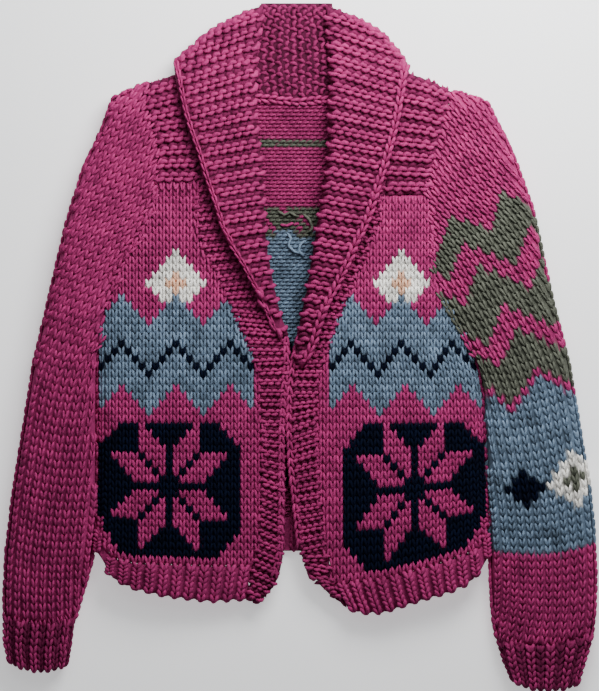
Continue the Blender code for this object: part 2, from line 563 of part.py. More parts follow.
def make_back():
    """The plain knit back, from its rib to the shoulders and neck."""
    right_x, right_y = armhole_rows(RIGHT_ARMHOLE)
    left_x, left_y = armhole_rows(LEFT_ARMHOLE)
    lower = np.linspace(0, 1, 7)[1:]
    right_y = np.concatenate((right_y, mix(right_y[-1], BACK_RIB_TOP + SEAM, lower)))
    left_y = np.concatenate((left_y, mix(left_y[-1], BACK_RIB_TOP + SEAM, lower)))
    right_x = np.concatenate((right_x, side_x(RIGHT_ARMHOLE, RIGHT_SIDE, right_y[len(right_x):])))
    left_x = np.concatenate((left_x, side_x(LEFT_ARMHOLE, LEFT_SIDE, left_y[len(left_x):])))
    right_x, left_x = right_x + SEAM / 2, left_x - SEAM / 2
    first, last = right_x[0] + CURL_PLAN[-1], left_x[0] - CURL_PLAN[-1]
    inner = (np.array(BACK_COLUMNS_X) - first) / (last - first)
    x_rows, y_rows = [], []
    line = RIGHT_SHOULDER + NECK_SEAM[1:-1] + LEFT_SHOULDER
    for row in range(len(right_x)):
        low, high = right_x[row] + CURL_PLAN, left_x[row] - CURL_PLAN[::-1]
        x = np.concatenate((low, mix(low[-1], high[0], inner), high))
        share = (x - x[0]) / (x[-1] - x[0])
        y = mix(right_y[row], left_y[row], share)
        x_rows.append(x)
        y_rows.append(y)
    x, y = np.array(x_rows), np.array(y_rows)
    lift = read_line(line, x[0]) - SEAM / 4 - y[0]
    weight = np.clip((y - 165.0) / (y[0] - 165.0), 0, 1)
    return back_layer("back_panel", x, y + weight * lift, RASPBERRY)


def make_back_rib():
    """The knit rib under the back; its outer face is flat where it rests."""
    shares = np.linspace(0, 1, 3)
    levels = mix(BACK_RIB_TOP - SEAM / 2, BACK_HEM, shares)
    inner = np.linspace(0, 1, 11)[1:-1]
    rows = []
    for level in levels:
        low = side_x(RIGHT_ARMHOLE, RIGHT_SIDE, level) + SEAM / 2 + CURL_PLAN
        high = side_x(LEFT_ARMHOLE, LEFT_SIDE, level) - SEAM / 2 - CURL_PLAN[::-1]
        rows.append(np.concatenate((low, mix(low[-1], high[0], inner), high)))
    x = np.array(rows)
    return back_layer("back_hem_rib", x, levels[:, None] * np.ones_like(x), DEEP_RASPBERRY)


def ring_places(armhole):
    """Distances along the armhole seam at which the sleeve's rings have their points."""
    travel = path_lengths(armhole)
    middle = [length for length in travel if 20 < length < travel[-1] - 20]
    return np.array(middle) / travel[-1]


def tube(name, sections, armhole, sign, colour, ribs=0):
    """A flattened open tube of knit: a sleeve, or a cuff with ribs on the sides that show."""
    rows = columns(SLEEVE_COLUMNS, sections)
    total = path_lengths(armhole)[-1]
    places = ring_places(armhole)
    outer, inner = [], []
    for row in range(len(sections)):
        start = np.array((rows["outer_x"][row], rows["outer_y"][row]))
        end = np.array((rows["inner_x"][row], rows["inner_y"][row]))
        width = np.linalg.norm(end - start)
        reach = min(FOLD_WIDTH, CURL_SHARE * width)
        near = min(places[0] * total, CURL_SHARE * width)
        far = width - min((1 - places[-1]) * total, CURL_SHARE * width)
        if ribs:
            half = plan_distance(np.linspace(0, width / 2 + CURL_CLOTH[-1] - CURL_PLAN[-1], ribs + 1))
            top = np.concatenate((half, width - half[-2::-1]))
            under = mix(reach, width - reach, np.linspace(0, 1, 7)[1:-1])
            curled = CURL_PLAN[1:3] * reach / FOLD_WIDTH
            under = np.concatenate((curled, under, width - curled[::-1]))
        else:
            middle = mix(near, far, (places - places[0]) / (places[-1] - places[0]))
            top = np.concatenate((CURL_PLAN[:3], middle, width - CURL_PLAN[2::-1]))
            under = top[1:-1]
        distance = np.concatenate((top, under[::-1]))
        height = curl(np.minimum(distance, width - distance), reach)
        height[[0, len(top) - 1]] = 0
        upper = rows["fold"][row] + rows["rise"][row] * height
        lower = rows["fold"][row] * (1 - height)
        is_top = np.arange(len(distance)) < len(top)
        section = np.stack((distance, np.where(is_top, upper, lower)), axis=1)
        at_seam = row == 0 and not ribs
        if at_seam:
            x, y = plan_of(rows, row, start, end, armhole, distance / width).T
            section[:, 1] = np.where(is_top, front_surface(x, y), back_surface(x, y))
        lean = section_normals(section)
        is_rib = (np.arange(len(section)) % 2 == 1) & is_top & (ribs > 0)
        for grid, shift in ((outer, np.where(is_rib, RIDGE, 0.0)), (inner, np.full(len(section), -WALL))):
            moved = section + lean * shift[:, None]
            plan = plan_of(rows, row, start, end, armhole, moved[:, 0] / width)
            plan[:, 0] += sign * SEAM / 2 * at_seam
            grid.append(stack(plan[:, 0], plan[:, 1], np.maximum(moved[:, 1], 0)))
    return wall(name, np.array(outer), np.array(inner), colour, closed=True)


def plan_of(rows, row, start, end, armhole, share):
    """Plan places across a section, bowed like the armhole seam by the row's share."""
    lengths = path_lengths(armhole)
    bowed = np.stack(along(armhole, share * lengths[-1]), axis=1)
    straight = np.array(armhole[0], float) + share[:, None] * (np.array(armhole[-1]) - np.array(armhole[0]))
    across = end - start
    down = np.array((across[1], -across[0])) / np.linalg.norm(across)
    hang = rows["dip"][row] * np.clip(4 * share * (1 - share), 0, 1)
    down *= -np.sign(down[1])
    return start + share[:, None] * across + rows["bow"][row] * (bowed - straight) + hang[:, None] * down


def section_normals(section):
    """Outward unit normals of a closed section given as distance across and height."""
    run = np.roll(section, -1, axis=0) - np.roll(section, 1, axis=0)
    lean = np.stack((-run[:, 1], run[:, 0]), axis=1)
    lean /= np.linalg.norm(lean, axis=1, keepdims=True)
    return lean


def centre(pieces):
    """Move the pieces together so that the middle of their box is at x = 0 and y = 0."""
    corners = np.array([vertex.co for piece in pieces for vertex in piece.data.vertices])
    middle = (corners.min(axis=0) + corners.max(axis=0)) / 2
    for piece in pieces:
        for vertex in piece.data.vertices:
            vertex.co.x -= middle[0]
            vertex.co.y -= middle[1]


def main():
    for thing in list(bpy.data.objects):
        bpy.data.objects.remove(thing, do_unlink=True)
    pieces = [make_back(), make_back_rib(), make_collar_back()]
    sides = (("right", -1, RIGHT_ARMHOLE, RIGHT_SIDE, RIGHT_SHOULDER, RIGHT_BAND, RIGHT_LAPEL,
              RIGHT_RIB_TOP, RIGHT_HEM, RIGHT_SLEEVE, RIGHT_CUFF),
             ("left", 1, LEFT_ARMHOLE, LEFT_SIDE, LEFT_SHOULDER, LEFT_BAND, LEFT_LAPEL,
              LEFT_RIB_TOP, LEFT_HEM, LEFT_SLEEVE, LEFT_CUFF))
    for word, sign, armhole, side, shoulder, band, lapel, rib_top, hem, sleeve, cuff in sides:
        pieces += [make_front(word + "_front", armhole, side, band, rib_top, sign),
                   make_front_rib(word + "_front_rib", side, band, rib_top, hem, sign),
                   make_yoke(word + "_yoke", armhole, shoulder, band, sign),
                   make_band(word + "_band", band),
                   make_lapel(word + "_lapel", lapel, DIAGONAL_BOW[word], sign),
                   tube(word + "_sleeve", sleeve, armhole, sign, RASPBERRY),
                   tube(word + "_cuff", cuff, armhole, sign, DEEP_RASPBERRY, CUFF_RIBS)]
    centre(pieces)


main()
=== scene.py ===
import json
import math

import bmesh
import bpy
import numpy as np
from bpy.props import FloatProperty, FloatVectorProperty, IntProperty, PointerProperty
from mathutils import Matrix, Vector, kdtree, noise
from mathutils.bvhtree import BVHTree

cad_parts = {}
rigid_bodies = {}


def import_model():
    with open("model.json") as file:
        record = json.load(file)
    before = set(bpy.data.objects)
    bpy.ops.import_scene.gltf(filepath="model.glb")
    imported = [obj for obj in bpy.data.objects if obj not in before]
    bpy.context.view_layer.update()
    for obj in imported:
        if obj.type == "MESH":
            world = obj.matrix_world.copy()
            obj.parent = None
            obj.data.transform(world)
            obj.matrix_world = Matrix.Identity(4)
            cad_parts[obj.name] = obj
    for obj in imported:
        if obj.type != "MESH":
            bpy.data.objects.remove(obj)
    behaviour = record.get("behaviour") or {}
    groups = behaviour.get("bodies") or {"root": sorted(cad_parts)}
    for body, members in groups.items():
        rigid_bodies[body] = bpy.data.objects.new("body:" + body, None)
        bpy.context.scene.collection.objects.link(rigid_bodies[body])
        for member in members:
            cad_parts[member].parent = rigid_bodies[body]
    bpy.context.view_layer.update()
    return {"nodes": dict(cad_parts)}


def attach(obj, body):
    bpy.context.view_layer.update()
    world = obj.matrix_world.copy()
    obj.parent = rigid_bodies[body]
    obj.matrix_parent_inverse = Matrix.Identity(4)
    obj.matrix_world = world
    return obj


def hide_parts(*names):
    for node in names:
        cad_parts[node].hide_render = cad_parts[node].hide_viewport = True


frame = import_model()

bl_info = {
    "name": "Chunky knit cardigan",
    "version": (1, 0, 0),
    "blender": (4, 5, 0),
    "location": "View3D > Sidebar > Cardigan",
    "description": "Knits the surfaces of a shawl collar cardigan over its plain pieces",
    "category": "Object",
}

MM = 0.001
SHIFT = np.array((-0.5, -0.23))   # from the middle of the tables below to the garment's, in millimetres

# The garment's lines, in millimetres, as its plain pieces have them
ARMHOLE = {
    "right": ((-158, 276), (-161, 251), (-154, 227), (-148, 207), (-151, 170), (-159, 133), (-173, 109),
              (-186, 88), (-200, 49), (-213, 4)),
    "left": ((160, 267), (151, 227), (141, 191), (138, 159), (139, 128), (141, 94), (144, 70), (154, 47),
             (167, 24), (184, -6))}
SIDE = {
    "right": ((-213, 4), (-212.6, -60), (-213, -150), (-214, -220)),
    "left": ((184, -6), (189.5, -27), (193.5, -51), (195, -76), (196.5, -119), (198, -184), (199, -230))}
SHOULDER = {"right": ((-158, 276), (-130, 286), (-77, 297)), "left": ((160, 267), (132, 282), (77, 297))}
BAND = {   # rows of two places, on the seam and on the free edge
    "right": ((-55, -264, -43, -269), (-50, -235, -24, -247), (-44, -203, -17, -215), (-41, -161, -16, -172),
              (-41, -77, -16, -77), (-43, -45, -13, -45), (-47, -20, -11.5, -18), (-56, 4, -10.5, 2),
              (-64.5, 21, -19, 17), (-72, 39, -29.5, 34), (-76, 49, -34, 52), (-86, 68, -39, 76),
              (-96, 88, -42, 95), (-105, 109, -45, 115), (-110, 133, -46, 140), (-111, 148, -47, 158),
              (-111, 166, -47, 180), (-104, 200, -51, 212), (-93, 245, -55, 246)),
    "left": ((50, -274.5, 28, -256), (36, -250, 12, -238), (28, -208, 1, -215), (23, -161, -4, -166),
             (19, -77, -9.5, -88), (19, -51, -8.5, -51), (23, -27, -6.5, -27), (28, -12, -3.5, -15),
             (33, 2, 6, 0), (41, 24, 10.5, 26), (50.5, 47, 14, 52), (60, 70, 19, 78), (71, 94, 23.5, 104),
             (85, 128, 28.5, 140), (90.5, 159, 33.5, 170), (89, 190, 38, 200), (86, 227, 39.5, 240))}
BAND_EDGE = {   # the lines of the chained stitches along the bands' edges
    "right": ((-14, 10), (-14, -20), (-17, -50), (-19, -90), (-19, -165), (-20, -210), (-27, -243)),
    "left": ((4, 22), (-2, 4), (-7, -18), (-10.5, -45), (-11.5, -80), (-9, -130), (-4, -170), (0, -212))}
LAPEL = {   # rows of two places, on the free edge and on the roll
    "right": ((-22, 9, -11, 12), (-32, 33, -20, 36), (-47, 61, -28, 67), (-58, 83, -32, 90),
              (-71, 103, -35, 113), (-82, 124, -37, 136), (-91, 153, -38, 165), (-100, 179, -39, 192),
              (-107, 203, -43, 218), (-115, 225, -47, 250), (-121, 243, -46, 280), (-127, 269, -44, 316),
              (-131, 295, -37, 359)),
    "left": ((5, -22, -5, -17), (12, -3, -3, 2), (22, 24, 1, 28), (32, 48, 6, 53), (44, 74, 11, 80),
             (56, 97, 15, 106), (68, 123, 19, 133), (76, 143, 23, 154), (85, 171, 27, 181),
             (92, 193, 30, 204), (98, 214, 31, 226), (104, 238, 31, 253), (108, 263, 33, 286),
             (113, 293, 27, 358))}
LAPEL_PITCH = 14.8   # from ridge to ridge
LAPEL_SLOPE = (0.19, 0.17)   # the ridges' slope low down, and what it gains at the top
LAPEL_TOP, LAPEL_REACH = 357.0, 132.0   # where the ridges stop, and how far out they are drawn
LAPEL_INSET, LAPEL_EDGE = 5.5, 0.035   # ridges end inside the free edge, and its chain lies just inside it
RIM_SEARCH, RIM_END, RIM_INSET = (362.0, 200.0), 50.0, 2.4   # the row of bumps along a lapel's top
CHAINS = {   # length and width of a link
    "right_lapel": (9.0, 5.4), "left_lapel": (8.6, 9.0), "band": (9.5, 7.8), "neck": (8.0, 9.5),
    "rib_seam": (3.0, 9.0), "shoulder_seam": (5.0, 8.0)}
RIDGE_HALF = {"collar": 2.4, "lapel": 2.5, "rim": 1.2, "band": 1.9, "yoke": 2.5}   # to a row of bumps
RIB_TOP = {
    "right": ((-214, -178), (-211.3, -191), (-204.7, -210), (-195.7, -221), (-174, -227), (-140, -228),
              (-94, -230), (-40, -230)),
    "left": ((199, -182), (196.3, -195), (189.7, -208), (180.7, -215), (138, -230), (89, -243), (30, -250))}
HEM = {
    "right": ((-214, -209), (-205, -227), (-196, -243), (-174, -253), (-142, -261), (-94, -267), (-40, -264)),
    "left": ((200, -212), (191, -233), (177, -248), (157, -257), (120, -268), (87, -279), (65, -279),
             (35, -270))}
FRONT_TOP = {"right": 170.0, "left": 159.0}
BACK_RIB_TOP, BACK_HEM = -178.0, -214.0
BOTTOM_LEVEL, STRAIGHT_LEVEL = -230.0, -60.0
NECK_SEAM = ((-77, 297), (-67, 271), (-52, 258), (0, 253), (51, 258), (66, 271), (77, 297))
SLEEVE = {   # rows of two places, on the outer fold and on the inner one
    "right": ((-158, 276, -213, 4), (-194, 260, -215, -10), (-206, 227, -215, -29), (-226, 183, -215, -54),
              (-244, 123, -215, -86), (-260, 53, -215, -124), (-277, -19, -215, -162),
              (-286, -77, -216, -194), (-298, -151, -220, -224), (-306, -217, -226, -247),
              (-308, -252, -232, -267), (-308, -283, -237, -284)),
    "left": ((160, 267, 184, -6), (195, 256, 192, -27), (211, 225, 196, -51), (225, 193, 197.5, -76),
             (243, 143, 198.5, -109), (261, 58, 199.5, -138), (281, -20, 201, -166), (292, -88, 202, -193),
             (302, -146, 202, -218), (307, -196, 202.5, -243), (309, -243, 204, -268), (308, -278, 206, -291),
             (305, -302, 209, -308))}
CUFF = {   # rows as the sleeves' ones
    "right": ((-308, -284, -237, -285), (-308, -310, -241, -317), (-304, -329, -244, -333)),
    "left": ((305, -303, 209, -309), (299, -326, 215, -329), (291, -352, 223, -349))}
CUFF_DIP = {"right": 8.0, "left": 8.5}   # how far a cuff's rows hang in the middle
STAND = (   # the collar's inside: level, right end and left end
    (353, -40, 34), (335, -51, 46), (300, -58, 54), (262, -50, 48))
CURL_PLAN, CURL_CLOTH = np.array((0.0, 2.4, 9.0, 18.0)), np.array((0.0, 6.5, 14.0, 23.5))
CURL_EXTRA = CURL_CLOTH[-1] - CURL_PLAN[-1]
COUNTS = {"yoke": 7, "stand": 14, "front": 12, "cuff": 10}
BACK_SIDES, BACK_TOP = (-213, 200), 300   # the span of the back's stitches, which its outline cuts
INSIDE_BACK, INSIDE_RIB = (-82, 76), (-60, 60)   # how wide the back's inside is seen through the opening
LOWEST, LOWEST_SHELL = 0.15, 0.3   # the lowest that yarn and shells lie above the floor
SHELL_OUT = 0.9   # how far a shell's sides stand out from the plain piece
CREASE_FACING, CREASE_LEVEL, CREASE_MOST = 0.25, 9.0, 2.2   # creases are only pressed into what faces up
PLY_RUN = 900.0   # how fast the plies turn along a strand
STRETCH = 1.5   # the most that a stitch is drawn out
KNIT_DRAWN, GARTER_DRAWN = (7.1, 7.9), (9.2, 1.0)   # the place that a stitch fills at its drawn size
FRONT_COLUMNS = 27   # more than show, since the band's seam cuts them
FRONT_REACH, STEADY_LEVEL = 170.0, -110.0   # a side's shape fades out inwards, and is measured from a level
FRONT_RIB_STITCH, BACK_RIB_STITCH, CUFF_STITCH = (9.4, 6.4), (11.0, 7.0), (6.6, 7.4)
UNDER_SINK = {"back": 0.5, "rib": 0.8, "sleeve": 0.4, "cuff": 0.5}   # stitches underneath lie deeper
BACK_RIB_PITCH = (13.4, 6.6)   # from rib to rib, and from stitch to stitch up a rib
CUFF_RIBS = ((0, 1.6, 0.0, 0.92), (1, 0.9, 1.1, 0.5))   # raised and sunken: place, thickness, sink and shade; the sunken ribs' yarn is darkened as painted shade
SIDE_LEVELS = ((6.5, 0.85), (14.0, 0.55))   # heights of a sleeve's side stitches, with the steepest slope
SIDE_REACH = 3.0, 7.0   # how far outside a sleeve's fold its side is sought, and how far off it may be
SLEEVE_LEAD, ROWS_ABOVE = 130.0, 14   # the outer fold's straight run above the shoulder, and its rows
SLEEVE_THICK, SLEEVE_SPILL, CUFF_SEAM = 1.2, 4.5, -262   # stitches spill over its two seams
SLEEVE_DIP, DIP_WIDTH, DIP_SPAN = 7.0, 160.0, (160, 200)   # the lower sleeve's rows hang in the middle
SLEEVE_LEAN, LEAN_SPAN = 0.42, (200.0, 420.0)   # the columns lean round the upper arm, and then straighten
LEAD_COLUMNS, ALL_COLUMNS = 16, 34   # columns that start outside the fold, and those inside it
BAND_ROW = 5.4   # height of a knitted row of the bands
RIDGE_SHADE, VALLEY_SHADE, VALLEY_SINK = 0.92, 0.5, 2.3   # a ridge's yarn is a little darker, and the sunken rows between two ridges are darkened further as painted shade
YOKE_VALLEY = 7.3   # from a yoke's ridge to the sunken row beside it
NET_STEP, NET_WIDTH, NET_HEIGHT, NET_SHADE, NET_THICK = 6.0, 7.4, 0.8, 0.58, 0.75   # inside the collar; its bumps' yarn is darkened there as painted shade
NET_TILTS, NET_SINK = (-0.6, 0.75), (0.9, 1.6)   # turns by which its bumps lie, and how deep they sink
KNIT_FACING, GARTER_FACING = 0.02, 0.05   # how far cloth has to face the stitches laid on it
SHELL_GAP_SHADE = {"knit": 0.85, "garter": 0.45, "collar": 0.3}   # the shell's yarn colour, darkened between its stitches as painted shade
SHAPES = (   # drawn stitches, taken away at the end
    "knit_shape_5", "knit_shape_4", "garter_shape", "purl_shape")
TAIL_RADIUS, TAIL_LIFT = 1.5, 3.4   # and how high the tails stand
TAILS = (   # loose ends of yarn inside the back, by colour
    ("blue_grey", ((-14, 121), (-9, 114), (-12, 106), (-5, 99), (3, 98))),
    ("blue_grey", ((8, 112), (1, 108), (-1, 100), (6, 94))),
    ("olive", ((-24, 143), (-16, 138), (-10, 141), (-2, 136))),
    ("olive", ((3, 140), (10, 134), (14, 125), (9, 119))),
    ("raspberry", ((-21, 128), (-13, 127), (-6, 130))))
SIGN = {"right": -1, "left": 1}

# Soft troughs and ridges of the laid cloth: from, to, half width and depth, in millimetres
CREASES = ((-228, 30, -247, -28, 9, 2.0), (-236, 60, -262, -60, 12, -1.2), (-262, -70, -290, -240, 14, 1.3),
           (171, 8, 192, -35, 8, 2.0), (188, 20, 238, -18, 11, 1.6), (204, -90, 236, -60, 10, 1.4),
           (250, 60, 292, -110, 13, -1.3), (222, 150, 262, 20, 12, 1.4), (20, -62, 24, -232, 3.6, 2.2),
           (-150, 80, -120, -120, 16, 1.2), (-190, -20, -160, -190, 13, 1.1), (-84, 30, -70, -190, 12, 1.2),
           (96, 60, 84, -140, 14, 1.2), (150, 10, 128, -170, 15, 1.2), (178, -60, 170, -190, 10, 1.0),
           (-196, 236, -222, 120, 11, 1.4), (176, 236, 205, 120, 11, 1.4), (-168, 180, -200, 70, 10, 1.3))

LIGHTS = (   # name, place, aim, size and share of the key light's power
    ("key_light", (0.33, 0.78, 0.6), (0.22, 0.6, 0), 0.7, 1.0),
    ("top_light", (-0.3, 0.9, 1.3), (-0.3, 0.9, 0), 1.2, 0.25))
FLOOR_REACH, FLOOR_COLOUR = 4.0, (0.94, 0.945, 0.955, 1)
FLOOR_GLOW = 0.6   # light that the floor gives off, so that it stays pale
SENSOR = 36.0   # height of the camera's sensor, in millimetres
VIEW_MIDDLE = 1.05   # how far up from the tables' middle the view's middle is, in millimetres
VIEW_LEVEL = 0.012   # the level that the camera's height is measured from


# Sizes and colours that a user would change

def colour(name, value, text):
    return FloatVectorProperty(name=name, description=text, default=value, subtype="COLOR", size=3, min=0,
                               max=1)


def length(name, value, text):
    return FloatProperty(name=name, description=text, default=value * MM, unit="LENGTH", precision=4)


class CardiganYarns(bpy.types.PropertyGroup):
    raspberry: colour("Raspberry", (0.365, 0.031, 0.146), "Main yarn")
    blue_grey: colour("Blue grey", (0.145, 0.205, 0.285), "Yarn of the zigzag fields")
    navy: colour("Navy", (0.0007, 0.0028, 0.013), "Yarn of the lower fields")
    olive: colour("Olive grey", (0.105, 0.112, 0.088), "Yarn of the sleeve's chevrons")
    cream: colour("Cream", (0.93, 0.91, 0.86), "Yarn of the small diamonds")
    peach: colour("Peach", (0.78, 0.47, 0.32), "Yarn of the diamonds' middles")
    heather: FloatProperty(name="Heather", description="How far the yarn's colour varies along it",
                           default=0.34, min=0, max=1, subtype="FACTOR")


class CardiganKnit(bpy.types.PropertyGroup):
    column: length("Column", 7.1, "Width of a plain stitch")
    row: length("Row", 7.9, "Height of a plain stitch")
    sleeve_column: length("Sleeve column", 8.9, "Width of a stitch on the sleeves")
    sleeve_row: length("Sleeve row", 8.7, "Height of a stitch on the sleeves")
    bump: length("Garter bump", 9.2, "Width of a garter bump")
    unevenness: FloatProperty(name="Unevenness", description="How far stitches differ in size", default=0.09,
                              min=0, max=0.5, subtype="FACTOR")
    seed: IntProperty(name="Seed", description="Seed of the stitches' unevenness", default=11)


class CardiganStage(bpy.types.PropertyGroup):
    light: FloatProperty(name="Key light", description="Power of the soft light above the collar", default=21,
                         unit="POWER")
    fill: FloatProperty(name="Fill", description="Strength of the surrounding light", default=0.12, min=0)
    view_height: FloatProperty(name="View height", description="Height of the camera's view", default=0.72555,
                               unit="LENGTH", precision=4)
    camera_height: FloatProperty(name="Camera height", description="How far above the garment the camera is",
                                 default=4.0, unit="LENGTH")


# Lines and shares

def ease(share):
    share = np.clip(share, 0.0, 1.0)
    return share * share * (3.0 - 2.0 * share)


def mix(low, high, share):
    return low + (high - low) * share


def two_lines(rows):
    """The two lines that a table's rows of two places make."""
    rows = np.array(rows, float)
    return rows[:, :2], rows[:, 2:]


def read_line(points, at):
    """A line's second measure where its first is at."""
    ordered = np.array(sorted(map(tuple, points)), float)
    return np.interp(at, ordered[:, 0], ordered[:, 1])


def x_at(points, y):
    """A line's x at a height."""
    return read_line([(level, x) for x, level in points], y)


def path_lengths(points):
    steps = np.hypot(*np.diff(np.asarray(points, float), axis=0).T)
    return np.concatenate(([0.0], np.cumsum(steps)))


def read_path(points, lengths, distances):
    """Places on a path whose points lie at some lengths along it."""
    points = np.asarray(points, float)
    return np.stack([np.interp(distances, lengths, column) for column in points.T], axis=-1)


def along(points, distances):
    return read_path(points, path_lengths(points), distances)


def steps_along(line, count, offset=0.5):
    """Evenly spaced places along a line, each with the line's direction there, and the step between them."""
    reach = path_lengths(line)[-1]
    step = reach / count
    spots = (np.arange(count) + offset) * step
    runs = along(line, np.clip(spots + 1, 0, reach)) - along(line, np.clip(spots - 1, 0, reach))
    return [(spot, run / (np.linalg.norm(run) + 1e-9)) for spot, run in zip(along(line, spots), runs)], step


def step_count(line, pitch):
    return max(2, int(round(path_lengths(line)[-1] / pitch)))


def plan_distance(cloth):
    """Distance in from a fold, in plan, for a length of cloth round its curl."""
    return np.where(cloth < CURL_CLOTH[-1], np.interp(cloth, CURL_CLOTH, CURL_PLAN), cloth - CURL_EXTRA)


def side_x(word, y):
    return x_at(ARMHOLE[word] + SIDE[word][1:], y)


def crease_depth(x, y):
    """How far the creases press the cloth down at a place, in millimetres."""
    depth = 0.0
    for x0, y0, x1, y1, width, deep in CREASES:
        run_x, run_y = x1 - x0, y1 - y0
        share = ((x - x0) * run_x + (y - y0) * run_y) / (run_x ** 2 + run_y ** 2)
        if -0.2 < share < 1.2:
            gap = math.hypot(x - x0 - share * run_x, y - y0 - share * run_y)
            uneven = 0.75 + 0.5 * noise.noise(Vector((x * 0.03, y * 0.03, deep)))
            fade = float(ease((0.6 - abs(share - 0.5)) / 0.25))
            depth += deep * uneven * fade * math.exp(-(gap / width) ** 2)
    depth += 0.7 * noise.noise(Vector((x * 0.022, y * 0.022, 3.0)))
    return depth


# Knitted designs: what yarn each stitch has

def star(across, up):
    """Whether a stitch is on an eight-pointed star."""
    long_side, short_side = max(abs(across), abs(up)), min(abs(across), abs(up))
    return 1 <= short_side <= 4 and short_side < long_side <= short_side + 4


def diamond(across, up, size):
    return abs(across) + abs(up) <= size


def zigzag(place, period):
    return min(place % period, period - place % period)


def front_yarn(column, row):
    """Yarn of a front's stitch, counted from the side and from the rib."""
    corner = max(0, 4 - row) + max(0, row - 15)
    if 1 <= row <= 18 and 1 + corner <= column <= 21 - corner:
        return "raspberry" if star(column - 11, row - 10) else "navy"
    step = zigzag(column, 8)
    if 20 + step <= row <= 31 + step and 1 <= column <= 23:
        return "navy" if row == 25 + step else "blue_grey"
    if diamond(column - 12, row - 37, 4):
        return "peach" if diamond(column - 12, row - 37, 1) else "cream"
    return "raspberry"


def sleeve_yarn(column, row):
    """Yarn of the left sleeve's stitch, counted from its outer fold and down from the shoulder."""
    step = zigzag(column + 400, 8)
    if 6 <= row + step <= 29:
        return "olive" if (row + step) % 8 < 5 and column < row - 1 else "raspberry"
    if 29 < row + step and row <= 47:
        if diamond(column - 2, row - 39, 3):
            return "olive" if diamond(column - 2, row - 39, 1) else "cream"
        return "navy" if diamond(column - 8, row - 39, 2) else "blue_grey"
    return "raspberry"


def plain_yarn(row, column):
    return "raspberry"


def back_yarn(x, y):
    """Yarn of the back at a place in millimetres."""
    column = int(math.floor((x - BACK_SIDES[0]) / KNIT_DRAWN[0]))
    row = int(math.floor((y - BACK_RIB_TOP) / KNIT_DRAWN[1]))
    step = zigzag(column, 6)
    if row >= 41 or row <= 3:
        return "olive" if row == 49 else "raspberry"
    if row > 36 + step // 2:
        return "olive" if (row + step) % 4 < 3 else "raspberry"
    for centre in (10, 29, 48):
        if star(column - centre, row - 17):
            return "navy"
    if row <= 5 + step:
        return "navy"
    return "blue_grey"


# Yarn, shells and stitches

def set_inputs(tree, node, inputs):
    """Sets a node's inputs, each to a value or to another node's output."""
    for key, value in inputs.items():
        if isinstance(value, bpy.types.NodeSocket):
            tree.links.new(value, node.inputs[key])
        else:
            node.inputs[key].default_value = value


def add_node(tree, kind, inputs=None, **settings):
    node = tree.nodes.new(kind)
    for key, value in settings.items():
        setattr(node, key, value)
    set_inputs(tree, node, inputs or {})
    return node


def add_object(name, data):
    made = bpy.data.objects.new(name, data)
    bpy.context.scene.collection.objects.link(made)
    return made


def smooth_mesh(name, shape):
    """A smooth mesh from a shape that has been built, which is then let go."""
    mesh = bpy.data.meshes.new(name)
    shape.to_mesh(mesh)
    shape.free()
    mesh.shade_smooth()
    return mesh


def yarn_material():
    """Plied wool: its colour comes from each stitch, with heather, a fuzzy sheen and twisted plies."""
    found = bpy.data.materials.get("wool_yarn")
    if found:
        return found
    heather = bpy.context.scene.cardigan_yarns.heather
    material = bpy.data.materials.new("wool_yarn")
    material.use_nodes = True
    tree = material.node_tree
    tint = add_node(tree, "ShaderNodeAttribute", attribute_name="tint")
    place = add_node(tree, "ShaderNodeTexCoord").outputs["Object"]
    fleck = add_node(tree, "ShaderNodeTexNoise", {"Vector": place, "Scale": 420.0, "Detail": 3.0})
    broad = add_node(tree, "ShaderNodeTexNoise", {"Vector": place, "Scale": 60.0, "Detail": 2.0})
    both = add_node(tree, "ShaderNodeMath", {
        0: fleck.outputs["Fac"], 1: broad.outputs["Fac"]}, operation="ADD")
    shade = add_node(tree, "ShaderNodeMapRange", {
        "Value": both.outputs[0], "From Min": 0.7, "From Max": 1.3,
        "To Min": 1.0 - heather, "To Max": 1.0 + heather})
    wool = add_node(tree, "ShaderNodeVectorMath", {
        0: tint.outputs["Color"], "Scale": shade.outputs["Result"]}, operation="SCALE")
    twist = add_node(tree, "ShaderNodeUVMap", uv_map="yarn")
    plies = add_node(tree, "ShaderNodeTexWave", {
        "Vector": twist.outputs["UV"], "Scale": 1.0, "Distortion": 1.2, "Detail": 2.0},
        wave_type="BANDS", bands_direction="DIAGONAL")
    fuzz = add_node(tree, "ShaderNodeTexNoise", {"Vector": place, "Scale": 1100.0, "Detail": 4.0})
    relief = add_node(tree, "ShaderNodeMath", {
        0: plies.outputs["Fac"], 1: 0.7, 2: fuzz.outputs["Fac"]}, operation="MULTIPLY_ADD")
    bump = add_node(tree, "ShaderNodeBump", {
        "Height": relief.outputs[0], "Strength": 0.4, "Distance": 0.0006})
    set_inputs(tree, tree.nodes["Principled BSDF"], {
        "Base Color": wool.outputs[0], "Roughness": 0.88, "Specular IOR Level": 0.1,
        "Sheen Weight": 0.3, "Sheen Roughness": 0.45, "Sheen Tint": wool.outputs[0],
        "Normal": bump.outputs["Normal"]})
    return material


